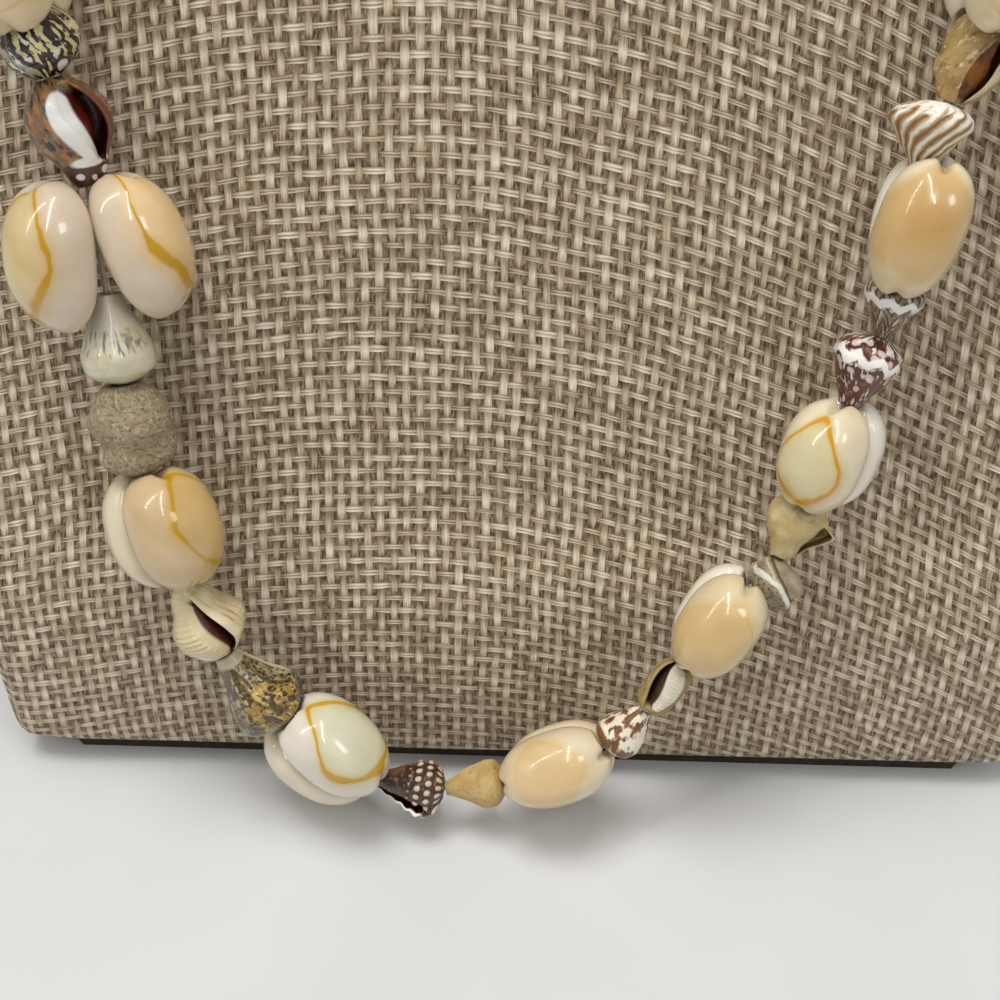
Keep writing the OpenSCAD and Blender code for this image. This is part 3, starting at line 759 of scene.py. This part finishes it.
# Small sea snail shells, two between one pair of cowries and the next, drilled end to end. Each
# is one wall of shell coiled round a pillar: a last large turn with an open mouth and a thicker
# lip, and a low spire. Some keep their gloss and pattern, some are worn dull by the beach.
bore_r = 0.75
bore_depth = 1.2
snail_rings = 84
snail_turn_points = 84
lip_bend = 70
flare_width = 30
fullest = 290
knob_room = 1.06
canal_ease = 0.12
mouth_ease = 0.16
cords_fade = 90
wear_step = 3.1
pillar_places = (0.0, 0.14, 0.28, 0.42, 0.55, 0.67, 0.78, 0.87, 0.94, 0.98)
plain_form = dict(
    # mouth: angle, its ends along the shell, wall, lip's height and angle, where the body starts
    gape=50, mouth=(0.0, 0.68), wall=0.1, lip=0.08, lip_width=16, start=0.88, canal=0.5,
    # callus beside the mouth: angle at the mouth's two ends, height; pillar's size; lip's ruffles
    callus=(12, 12, 0.02), pillar=0.42, flare=0.0, ruffle=(0, 0.0),
    # spire: where it starts and its turns; seam between turns: depth and width
    spire=(0.7, 3.0), seam=(0.06, 0.12),
    # ribs: how many, height, where they start; knobs and cords along the shell; wear
    ribs=(0, 0.0, 0.0), knobs=0, cords=(0, 0.0), wear=(0.03, 3.0), bulge=0.05,
    # how far growth twists along the shell, how far the mouth is turned, spire at the other end
    twist=25, turned=0, flipped=False)


def eased(value):
    """From 0 to 1 with soft ends."""
    value = min(max(value, 0.0), 1.0)
    return value * value * (3 - 2 * value)


def snail_section(share, form):
    """Angles and radii round the shell at one place along it: outside, over the lip, inside."""
    mouth_from, mouth_to = form["mouth"]
    start, wall = form["start"], form["wall"]
    opened = (eased((share - mouth_from) / canal_ease + form["canal"])
              * eased((mouth_to - share) / mouth_ease))
    reach = min(max((share - mouth_from) / (mouth_to - mouth_from), 0.0), 1.0)
    spread = form["gape"] * (0.5 + 0.5 * math.sin(math.pi * reach) ** 0.8)
    callus_low, callus_top, callus_height = form["callus"]
    callus_width = callus_low + (callus_top - callus_low) * reach
    ruffles, ruffle = form["ruffle"]
    ring = []
    for k in range(snail_turn_points + 1):
        s = 1 - (1 - k / snail_turn_points) ** 1.25
        theta = spread + (360 - spread) * s
        near_lip = math.exp(-((360 - theta) / form["lip_width"]) ** 2)
        callus = opened * math.exp(-((theta - spread) / callus_width) ** 4)
        r = (start + (1 - start) * s + form["lip"] * near_lip + callus_height * callus
             + form["flare"] * math.exp(-((360 - theta) / flare_width) ** 2) * opened
             + ruffle * math.cos(2 * math.pi * share * ruffles) * near_lip * opened)
        ring.append((theta, r, 0.0, near_lip * (0.3 + 0.7 * opened), callus))
    edge = ring[-1][1]
    inner = [(361.5, edge - wall * 0.1, 0), (362.2, edge - wall * 0.5, 0), (361, edge - wall, 0)]
    inner += [(360 - lip_bend * t, (edge - wall) * (1 - 0.12 * t), 0)
              for t in (0.12, 0.3, 0.5, 0.7, 0.88)]
    inner += [(360 - lip_bend * 1.04, (edge - wall) * depth, 0) for depth in (0.72, 0.56)]
    for t in pillar_places:
        r = form["pillar"] + (start * 1.02 - form["pillar"]) * t ** 1.6
        inner.append((360 - lip_bend + (lip_bend + spread) * t, r, eased((t - 0.7) / 0.25)))
    for k, (theta, r, callus) in enumerate(inner):
        t = (k + 1) / (len(inner) + 1)
        shut_theta, shut_r = 360 + spread * t, edge + (start - edge) * t ** 0.7
        ring.append((theta * opened + shut_theta * (1 - opened), r * opened + shut_r * (1 - opened),
                     opened * min(1.0, k / 3), math.exp(-(k / 3.0) ** 2) * (0.3 + 0.7 * opened),
                     callus * opened))
    return ring


def snail_points(kind, length, width, rings, seed, **own):
    """Points of a shell along +Z, narrow end first, lip at +X, mouth clockwise from it, its faces,
    and for each point: growth round and along in mm, how deep inside, near the lip, on the callus
    and on a knob it lies."""
    form = dict(plain_form, **own)
    spire_from, turns = form["spire"]
    seam_depth, seam_width = form["seam"]
    ribs, rib_height, rib_from = form["ribs"]
    cords, cord_height = form["cords"]
    wear, wear_size = form["wear"]
    rows = [(0, bore_r * 0.98, bore_depth), (0, bore_r, 0.0)]
    rows += [(share, None, 0.0) for share in np.linspace(0, 1, rings)]
    rows += [(1, bore_r, 0.0), (1, bore_r * 0.98, -bore_depth)]
    spots = []
    for share, only, deeper in rows:
        place = 1 - share if form["flipped"] else share
        size = smooth_at(outlines[kind], place, 1) * width / 2 / knob_room
        ring = snail_section(share, form)
        for theta, r, deep, near_lip, callus in ring:
            outside = 1 - deep
            growth = (theta - 360 if theta > 360 + 1e-6 else theta) / 360
            above = (share - spire_from) / (1 - spire_from) * turns + min(theta, 360) / 360 - 1
            if above > -0.5 and share > spire_from - 0.3:
                off = abs(above - max(0, round(above)))
                r *= 1 - seam_depth * math.exp(-(off / seam_width) ** 2) * outside
            knob = 0.0
            if ribs:
                # Knobs in one row stand over the gaps of the row before
                row = share * form["knobs"]
                knob = 0.5 + 0.5 * math.cos(math.radians(ribs * theta + 180 * round(row)))
                if form["knobs"]:
                    knob = (knob * (0.5 + 0.5 * math.cos(2 * math.pi * row))) ** 0.8
                knob *= eased((share - rib_from) / 0.1) * outside
            cord = cord_height * math.cos(2 * math.pi * share * cords) * outside
            if theta <= 360:
                cord *= eased((350 - theta) / cords_fade)
            r += rib_height * knob + cord
            r *= 1 + form["bulge"] * math.cos(math.radians(theta - fullest)) * math.sin(
                math.pi * share)
            radius = r * size if only is None else only
            angle = -math.radians(theta + form["turned"] + form["twist"] * (share - 0.5))
            x, y = radius * math.cos(angle), radius * math.sin(angle)
            z = (share - 0.5) * length + deeper
            if only is None:
                where = Vector((x, y, z)) / wear_size + Vector((seed * wear_step, 0, 5))
                dent = wear * width * noise.noise(where)
                x, y = x * (1 + dent / max(radius, 1)), y * (1 + dent / max(radius, 1))
            spots.append((x, y, z, growth * math.pi * width, share * length,
                          deep if only is None else 1.0, near_lip, callus, knob))
    spots = np.array(spots)
    if form["flipped"]:
        spots[:, 1:3] *= -1
    return spots[:, :3], ring_faces(len(rows), len(ring), flipped=True), spots[:, 3:]


# A wave texture at this scale has one band to each unit
wave_scale = 0.318


def snail_finish(name, ground, layers, inner, lip_tone, gloss, grit=0.15, glow=0.12,
                 callus_tone=None, knob_tone=None):
    """Shell colour: marks over a ground, the lip's own colour, a mouth partly painted shade."""
    material, node = new_material(name)
    place = node("TexCoord").outputs["Object"]
    growth = node("Attribute", attribute_name="growth").outputs["Vector"]
    deep, near_lip, callus, knob = [node("Attribute", attribute_name=label).outputs["Fac"]
                                    for label in ("deep", "near_lip", "callus", "knob")]
    cloud = node("TexNoise", {"Vector": place, "Scale": 1 / (2.5 * mm), "Detail": 6.0,
                              "Roughness": 0.6})
    coat = node("ValToRGB", cloud, stops=[(0.3, ground[0]), (0.5, ground[1]), (0.7, ground[2])])
    for kind, across, up, low, high, tint, waver, *patch in layers:
        # Marks are across by up in mm, round the shell and along it
        sway = node("TexNoise", {"Vector": place, "Scale": 1 / (1.8 * mm), "Detail": 3.0})
        bent = node("VectorMath.MULTIPLY_ADD", sway.outputs["Color"], (waver,) * 3, growth)
        bent = node("VectorMath.SUBTRACT", bent, (waver / 2,) * 3)
        laid = node("VectorMath.DIVIDE", bent, (across, up, 1))
        if kind in ("belt", "vees"):
            # A zigzag as many mm long as across and as high as up
            split = node("SeparateXYZ", bent)
            zig = node("Math.PINGPONG", split.outputs[0], across / 2)
            climb = node("Math.ADD", split.outputs[1],
                         node("Math.MULTIPLY", zig, 2 * up / across))
            mark = node("Math.FRACT", node("Math.MULTIPLY", climb, 0.7))
            if kind == "belt":
                mark = node("Math.ABSOLUTE", node("Math.SUBTRACT", climb, low + up / 2))
                low, high = high + 0.12, high - 0.12
        elif kind in ("spots", "rows"):
            mark = node("TexVoronoi", {"Vector": laid, "Scale": 1.0,
                                       "Randomness": 1.0 if kind == "spots" else 0.6})
        elif kind == "clouds":
            mark = node("TexNoise", {"Vector": laid, "Scale": 1.0, "Detail": 3.0})
        elif kind == "stripes":
            mark = node("TexWave", {"Vector": laid, "Scale": wave_scale, "Detail": 2.0,
                                    "Distortion": 1.5}, bands_direction="X")
        else:
            mark = 1.0
        cover = node("MapRange", {"Value": mark, "From Min": low, "From Max": high})
        if patch:
            # Only in a patch: its middle and half size round and along the shell
            round_at, round_half, along_at, along_half = patch
            apart = node("VectorMath.DIVIDE",
                         node("VectorMath.SUBTRACT", bent, (round_at, along_at, 0)),
                         (round_half, along_half, 1000))
            inside = node("MapRange", {"Value": node("VectorMath.LENGTH", apart).outputs["Value"],
                                       "From Min": 1.15, "From Max": 0.85})
            cover = node("Math.MULTIPLY", cover, inside)
        coat = node("Mix", {0: cover, 6: coat, 7: tint}, data_type="RGBA")
    # Painted shade in the mouth: the inside darkens deeper in, over its own tint
    mouth = node("ValToRGB", cloud, stops=[(0.35, inner[0]), (0.65, inner[1])])
    for fact, low, high, tint in ((knob, 0.3, 0.6, knob_tone), (near_lip, 0.45, 0.8, lip_tone),
                                  (deep, 0.35, 0.9, mouth), (callus, 0.3, 0.6, callus_tone)):
        if tint:
            cover = node("MapRange", {"Value": fact, "From Min": low, "From Max": high})
            coat = node("Mix", {0: cover, 6: coat, 7: tint}, data_type="RGBA")
    pits = node("TexNoise", {"Vector": place, "Scale": 1 / (0.5 * mm), "Detail": 5.0,
                             "Roughness": 0.7})
    relief = node("Bump", {"Height": pits, "Strength": 1.0, "Distance": grit * mm})
    shine = node("MapRange", {"Value": cloud, "To Min": gloss * 0.7, "To Max": gloss * 1.4})
    node("OutputMaterial", node("BsdfPrincipled", {
        "Base Color": coat, "Roughness": shine, "IOR": 1.55, "Normal": relief,
        "Subsurface Weight": glow, "Subsurface Radius": (1.0, 0.7, 0.45),
        "Subsurface Scale": 0.8 * mm, "Coat Weight": 0.5 if gloss < 0.35 else 0.0,
        "Coat Roughness": 0.08, "Coat IOR": 1.5}))
    return material


def snail_piece(name, points, faces, facts, materials, slots=None):
    """A mesh object of one or more shells, with the places that their finishes read."""
    piece = mesh_piece(name, points * mm, faces, materials)
    if slots is not None:
        piece.data.polygons.foreach_set("material_index", slots)
    growth = np.concatenate([facts[:, :2], np.zeros((len(facts), 1))], 1)
    piece.data.attributes.new("growth", "FLOAT_VECTOR", "POINT").data.foreach_set(
        "vector", growth.ravel())
    mark_points(piece, ("deep", "near_lip", "callus", "knob"), facts[:, 2:])
    return piece


def painted(tint, waver, *patch):
    """A layer that covers its patch whole: middle and half size round the shell and along it."""
    return "all", 1, 1, 0, 1, tint, waver, *patch


snail_looks = [
    # The form, then the finish. A layer of marks has its kind, their width and height in mm, where
    # in the noise they start and are full, colour, waver in mm, and a patch if it isn't all over.
    # 1: round turban, cream with dark zigzag stripes, mouth turned away
    (dict(gape=40, spire=(0.62, 2.5), seam=(0.05, 0.12), wear=(0.04, 3), twist=40),
     dict(ground=("#c4b87c", "#d4ca90", "#e4ddae"), layers=[
         painted("#9c9a88", 2.0, 13, 7, 6, 9),
         ("clouds", 1.1, 2.2, 0.47, 0.5, "#5a2410", 0.8),
         ("clouds", 1.1, 2.2, 0.49, 0.53, "#1c0d0a", 1.0),
         ("clouds", 1.2, 1.6, 0.6, 0.64, "#dcd9cc", 0.8),
         ("clouds", 0.9, 0.9, 0.62, 0.66, "#140a08", 0.6),
         painted("#241008", 0.0, 24.4, 1.8, 8.5, 0.9),
         painted("#ebe6da", 0.0, 24.4, 1.1, 8.5, 0.55)],
          inner=("#3a1a0c", "#5c2a10"), lip_tone="#d8d0b0", gloss=0.2)),
    # 2: brown top shell from its mouth side, with a white porcelain pillar
    (dict(gape=56, mouth=(0.2, 0.95), wall=0.13, lip=0.1, callus=(34, 12, 0.06), canal=0.3,
          turned=-14, spire=(0.93, 1), twist=60),
     dict(ground=("#5c3216", "#85552e", "#8c6a44"), layers=[
         ("clouds", 2.0, 2.0, 0.5, 0.56, "#6b6550", 1.0),
         ("clouds", 1.5, 2.2, 0.56, 0.62, "#33160a", 0.8),
         painted("#5c2a0c", 1.0, 31, 5, 5, 5),
         ("clouds", 1.4, 1.4, 0.52, 0.58, "#a8742c", 0.8),
         ("clouds", 1.2, 1.6, 0.58, 0.64, "#240e06", 0.8),
         painted("#4a1e0a", 0.4, 5, 30, 0.8, 1.9),
         painted("#efede7", 0.3, 5, 5, 2.7, 0.6),
         painted("#e9e3d8", 0.5, 1.0, 1.3, 1.4, 0.45),
         painted("#e9e3d8", 0.5, 5.6, 1.1, 0.8, 0.35),
         painted("#e9e3d8", 0.5, 10.0, 1.3, 1.2, 0.4)],
          inner=("#140806", "#6e1e0c"), lip_tone="#6a3410", callus_tone="#efede7", gloss=0.14)),
    # 3: pale cone, grey at its neck with short purplish strokes
    (dict(gape=40, spire=(0.8, 1.5), seam=(0.0, 0.12), twist=0),
     dict(ground=("#c8c2a4", "#d2ccb2", "#cbc5a8"), layers=[
         painted("#c9c1b0", 1.5, 20, 99, 0.5, 4.0),
         ("clouds", 0.6, 2.4, 0.5, 0.6, "#7c7678", 0.2, 21, 8, 5.6, 1.5),
         ("clouds", 1.0, 1.0, 0.44, 0.56, "#8f7a62", 0.6, 26, 2, 5.0, 1.2),
         ("clouds", 3, 3, 0.54, 0.68, "#c8bd96", 0.6)],
          inner=("#a89878", "#c8bda0"), lip_tone="#d4cdb4", gloss=0.24, glow=0.35, grit=0.05)),
    # 4: beach-worn lump, sandy and pitted
    (dict(gape=40, spire=(0.8, 1.5), seam=(0.0, 0.2), wear=(0.07, 3.4), bulge=0.1),
     dict(ground=("#ab9876", "#bca988", "#cbb99a"), layers=[
         ("clouds", 0.8, 0.5, 0.5, 0.62, "#9a8764", 0.4),
         ("clouds", 0.5, 0.5, 0.6, 0.68, "#7c6848", 0.0),
         ("clouds", 0.7, 0.7, 0.6, 0.68, "#ddcfb2", 0.0)],
          inner=("#6e5c38", "#8a7448"), lip_tone="#b8a880", gloss=0.8, grit=0.9, glow=0.0)),
    # 5: cream shell with fine cords, its red-brown slit to the front
    (dict(gape=46, mouth=(0.0, 0.9), wall=0.12, cords=(16, 0.022), lip=0.08, spire=(0.9, 1),
          callus=(40, 60, 0.03), canal=0.8, twist=45, turned=-58, flipped=True),
     dict(ground=("#cdb98c", "#d9c89e", "#e2d6b4"), layers=[
         ("clouds", 0.35, 4, 0.56, 0.64, "#a88a58", 0.3, 30, 9, 6, 9),
         painted("#dfe3e2", 0.6, 2, 8, 0.5, 2.0)],
          inner=("#35100a", "#5c2010"), lip_tone="#e2d2ae", callus_tone="#d9c69a", gloss=0.22)),
    # 6: olive cone, speckled, with an amber patch
    (dict(gape=40, spire=(0.85, 1.5), seam=(0.0, 0.12), wear=(0.05, 4), bulge=0.08, twist=50),
     dict(ground=("#544c30", "#7a6a3c", "#8f7a44"), layers=[
         ("clouds", 2.4, 3.4, 0.5, 0.6, "#a39c78", 0.8),
         ("clouds", 2.2, 3.0, 0.52, 0.6, "#4a3c22", 0.8),
         painted("#9a7834", 2.4, 28, 4.2, 8.6, 4.2),
         ("clouds", 0.9, 1.8, 0.5, 0.6, "#c4a864", 0.6, 28, 5, 8.6, 5),
         ("clouds", 1.8, 2.2, 0.54, 0.6, "#54411f", 0.8),
         ("rows", 1.3, 0.75, 0.4, 0.26, "#33240f", 0.7),
         ("clouds", 0.5, 0.7, 0.56, 0.62, "#2c200e", 0.4),
         painted("#b5aa88", 1.4, 0, 99, 0.0, 1.5),
         painted("#d8d0b4", 0.9, 0, 99, 13.5, 0.9)],
          inner=("#6e4a1c", "#8a6228"), lip_tone="#c9bd98", gloss=0.14)),
    # 7: dark drupe with pale knobs in rows and a thick white lip
    (dict(gape=28, mouth=(0.0, 0.8), wall=0.12, ribs=(15, 0.14, 0.42), knobs=6.6, lip=0.18,
          lip_width=36, callus=(4, 4, 0.0), ruffle=(6, 0.05), seam=(0.0, 0.1), wear=(0.03, 2),
          turned=62, canal=1.0),
     dict(ground=("#1e0c08", "#3a1a0e", "#4a2414"), layers=[
         ("clouds", 2.0, 0.7, 0.56, 0.64, "#7a5a3c", 0.4),
         painted("#6e4a30", 1.6, 14, 6, 2.5, 2)],
          inner=("#2c140c", "#4a2c1c"), lip_tone="#efe9df", knob_tone="#cdb9a2", gloss=0.25)),
    # 8: small plain tan cone
    (dict(gape=30, spire=(0.85, 1.5), seam=(0.0, 0.15), wear=(0.05, 3)),
     dict(ground=("#a88a52", "#bb9d62", "#c8ac72"), layers=[
         ("clouds", 0.6, 0.6, 0.56, 0.68, "#a08450", 0.2)],
          inner=("#8a6c3c", "#a88850"), lip_tone="#c8b27c", gloss=0.45, glow=0.2)),
    # 9: white cone with brown flames
    (dict(gape=40, spire=(0.75, 2), seam=(0.03, 0.12)),
     dict(ground=("#d8ccae", "#e4dac4", "#ebe5d6"), layers=[
         ("clouds", 2.6, 2.6, 0.49, 0.53, "#8a5c34", 0.8),
         ("clouds", 2.6, 2.6, 0.53, 0.58, "#6a3e1c", 0.8),
         painted("#7a5028", 0.8, 11.8, 3, 6.8, 0.9)],
          inner=("#9a8458", "#c8b490"), lip_tone="#e8e2d2", gloss=0.25)),
    # 10: olive shell seen into its mouth, with a white ribbed pillar
    (dict(gape=60, mouth=(0.0, 0.9), wall=0.12, pillar=0.5, lip=0.1, callus=(62, 10, 0.05),
          cords=(15, 0.014), canal=0.8, wear=(0.03, 3), spire=(0.9, 1), twist=40),
     dict(ground=("#7a643a", "#94804c", "#a8925e"), layers=[
         ("clouds", 1.5, 3.0, 0.56, 0.68, "#bca084", 0.4)],
          inner=("#24140a", "#4a2c14"), lip_tone="#a8925e", callus_tone="#dad2bc", gloss=0.5,
          glow=0.05)),
    # 11: worn grey top with pale bands
    (dict(gape=40, cords=(2.6, 0.04), wear=(0.06, 2.5), spire=(0.8, 1), seam=(0.0, 0.1), twist=0),
     dict(ground=("#7a6a50", "#9c8c72", "#b3a488"), layers=[
         ("clouds", 0.5, 0.5, 0.52, 0.62, "#695a40", 0.3, 16, 99, 1.0, 2.2),
         ("belt", 30, 3.0, 4.6, 0.2, "#5c4c34", 0.7),
         ("belt", 30, 3.0, 3.9, 0.18, "#c8bca2", 0.6),
         ("belt", 9, 1.0, 2.6, 0.34, "#e4dece", 0.8)],
          inner=("#7c5a30", "#a8844c"), lip_tone="#b0a080", gloss=0.6, grit=0.4, glow=0.05)),
    # 12: tan whelk with a flared lip
    (dict(gape=66, mouth=(0.0, 0.72), wall=0.08, lip=0.06, flare=0.24, spire=(0.8, 1.5),
          wear=(0.05, 3), seam=(0.0, 0.1), twist=45, pillar=0.6),
     dict(ground=("#b3985c", "#c2ad7c", "#d0c294"), layers=[
         ("clouds", 1.2, 0.6, 0.46, 0.6, "#8a8878", 0.6, 5.9, 2.4, 6.9, 0.9)],
          inner=("#5c4a24", "#857240"), lip_tone="#d2c6a0", callus_tone="#b8a474", gloss=0.4,
          glow=0.05)),
    # 13: dark red-brown cone, white zigzag belt and pale spots
    (dict(gape=30, spire=(0.82, 2), seam=(0.03, 0.12), wear=(0.03, 2.5), twist=30),
     dict(ground=("#2c100a", "#481a12", "#642c1c"), layers=[
         ("clouds", 1.0, 1.0, 0.54, 0.62, "#7c4a38", 0.6),
         ("rows", 1.9, 1.3, 0.42, 0.33, "#cfb8b0", 1.0),
         ("clouds", 0.8, 1.6, 0.6, 0.64, "#dccfc6", 0.6),
         ("clouds", 0.9, 1.8, 0.52, 0.58, "#e4ddd2", 0.8, 19, 99, 8.8, 1.0),
         ("belt", 3.2, 1.0, 6.3, 0.62, "#f0ece4", 1.3)],
          inner=("#5c3420", "#7c5030"), lip_tone="#8a5a40", gloss=0.2)),
    # 14: brown cone with fine chevrons and a white belt
    (dict(gape=30, spire=(0.82, 2), seam=(0.03, 0.12), wear=(0.03, 2.5), twist=30),
     dict(ground=("#6c5438", "#846c50", "#9a8466"), layers=[
         ("clouds", 1.0, 1.6, 0.52, 0.6, "#c4bcaa", 0.8),
         ("vees", 3.2, 2.3, 0.66, 0.76, "#3c2618", 1.1),
         ("clouds", 0.9, 1.4, 0.58, 0.62, "#33200f", 0.8),
         ("belt", 3.0, 0.7, 4.6, 0.55, "#e6e4dc", 1.1)],
          inner=("#5c4430", "#7c6448"), lip_tone="#a89c88", gloss=0.28)),
    # 15: white and brown striped top with low ribs
    (dict(gape=30, spire=(0.8, 1.5), seam=(0.03, 0.14), ribs=(13, 0.03, 0.0), twist=-90,
          wear=(0.03, 2.5)),
     dict(ground=("#a4845a", "#b89a72", "#c2a880"), layers=[
         ("stripes", 2.3, 9, 0.5, 0.85, "#e6dfce", 1.6),
         ("stripes", 2.3, 9, 0.24, 0.04, "#8a6238", 1.6),
         ("clouds", 1.6, 1.6, 0.48, 0.56, "#eee9de", 0.6, 20, 99, 7.0, 1.3)],
          inner=("#7c5a30", "#a88450"), lip_tone="#c0a880", gloss=0.35)),
    # 16: worn tan whelk, its mouth towards the middle
    (dict(gape=46, mouth=(0.02, 0.86), wall=0.1, lip=0.08, spire=(0.86, 1), wear=(0.1, 2.4),
          canal=0.3, twist=-50, turned=42, callus=(10, 10, 0.02)),
     dict(ground=("#9a7c46", "#b3935a", "#c6a874"), layers=[
         ("clouds", 1.0, 1.4, 0.54, 0.66, "#8a6c3e", 0.4),
         ("clouds", 1.2, 1.2, 0.58, 0.66, "#dcc89c", 0.4)],
          inner=("#4a2208", "#a8682a"), lip_tone="#d6c69e", gloss=0.5, grit=0.4, glow=0.05))]
snail_beads = [i for i in range(first_bead, last_bead) if beads[i][0] != "pair"]
for n, (i, (form, look)) in enumerate(zip(snail_beads, snail_looks), 1):
    finish = snail_finish(f"snail_shell_{n}_finish", **look)
    points, faces, facts = snail_points(*beads[i][:3], snail_rings, n, **form)
    shell = snail_piece(f"sea_snail_{n}", in_frame(points, snail_matrix(i)), faces, facts, [finish])
    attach(shell, "root")
    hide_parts(f"snail_shell_{n}")

# The stretch behind the neck: the same pairs of cowries and small shells, strung the same way.
# Nobody sees it from the front, so its shells are drawn with fewer points.
behind_rings = 40
behind_kinds = ("pair", "cone", "spire")
behind_looks = {"left": (7, 4), "right": (12, 5)}
for side, there in (("left", range(first_bead)), ("right", range(last_bead, len(beads)))):
    looks = [snail_looks[n] for n in behind_looks[side]]
    finishes = [glazed_cowrie(f"cowrie_enamel_behind_{side}", "#e4cc9c", "#ecd8ac", "#d9a548",
                              "#ebdcbc", ring_keep=0.35)]
    finishes += [snail_finish(f"{kind}_shell_behind_{side}", **finish)
                 for kind, (form, finish) in zip(behind_kinds[1:], looks)]
    parts = []
    for i in there:
        which = behind_kinds.index(beads[i][0])
        if which == 0:
            for flank in (1, -1):
                points, faces, places = placed_cowrie(i, flank, behind_rings)
                parts.append((points, faces, np.zeros((len(points), 6)), ring_facts(places), 0))
        else:
            points, faces, facts = snail_points(*beads[i][:3], behind_rings, i,
                                                **looks[which - 1][0])
            parts.append((in_frame(points, snail_matrix(i)), faces, facts,
                          np.zeros((len(points), 2)), which))
    firsts = np.cumsum([0] + [len(part[0]) for part in parts])
    faces = [tuple(v + first for v in face) for part, first in zip(parts, firsts)
             for face in part[1]]
    shells = snail_piece(f"shells_behind_neck_{side}", np.concatenate([part[0] for part in parts]),
                         faces, np.concatenate([part[2] for part in parts]), finishes,
                         [part[4] for part in parts for face in part[1]])
    mark_points(shells, ("from_ring", "slit"), np.concatenate([part[3] for part in parts]))
    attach(shells, "root")
    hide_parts(f"shells_behind_{side}")

# The barrel clasp behind the neck: two turned brass halves screwed together, lacquered and a
# little dull, with fine lathe rings and a knurl at the middle.
clasp_outline = [
    # along the axis, radius
    (6, 0.55), (6, 1.5), (5.85, 1.75), (5.6, 1.82), (5.2, 1.95), (5.0, 1.85), (4.8, 1.95),
    (3.4, 2.22), (2.2, 2.44), (2.0, 2.5), (1.2, 2.5), (1.0, 2.42), (0.18, 2.42), (0.1, 2.3)]
clasp_outline += [(-x, r) for x, r in clasp_outline[::-1]]
clasp_sides = 64
knurl_depth = 0.06
points = []
for x, r in clasp_outline:
    for a in range(clasp_sides):
        angle = 2 * math.pi * a / clasp_sides
        # The knurl is cut into the collar at the middle
        out = r - (knurl_depth * (a % 2) if 1.1 > abs(x) > 0.15 else 0)
        points.append((x, clasp_y + out * math.cos(angle), clasp_z + out * math.sin(angle)))
brass, node = new_material("turned_brass")
# Turned brass shows fine rings round the barrel, a warm yellow and dark tarnish in the grooves
place = node("TexCoord").outputs["Object"]
rings_cut = node("TexWave", {"Vector": place, "Scale": 0.08 / (0.25 * mm), "Distortion": 0.2},
                 bands_direction="X")
tarnish = node("TexNoise", {"Vector": place, "Scale": 1 / (1.5 * mm), "Detail": 5.0})
tone = node("ValToRGB", tarnish, stops=[(0.3, "#8a6c34"), (0.5, "#c9a459"), (0.75, "#d8b870")])
gloss = node("MapRange", {"Value": tarnish, "To Min": 0.4, "To Max": 0.2})
relief = node("Bump", {"Height": rings_cut, "Strength": 0.4, "Distance": 0.05 * mm})
node("OutputMaterial", node("BsdfPrincipled", {
    "Base Color": tone, "Metallic": 1.0, "Roughness": gloss, "Normal": relief}))
clasp = mesh_piece("turned_barrel_clasp", np.array(points) * mm,
                   ring_faces(len(clasp_outline), clasp_sides), [brass])
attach(clasp, "root")
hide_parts("barrel_clasp")
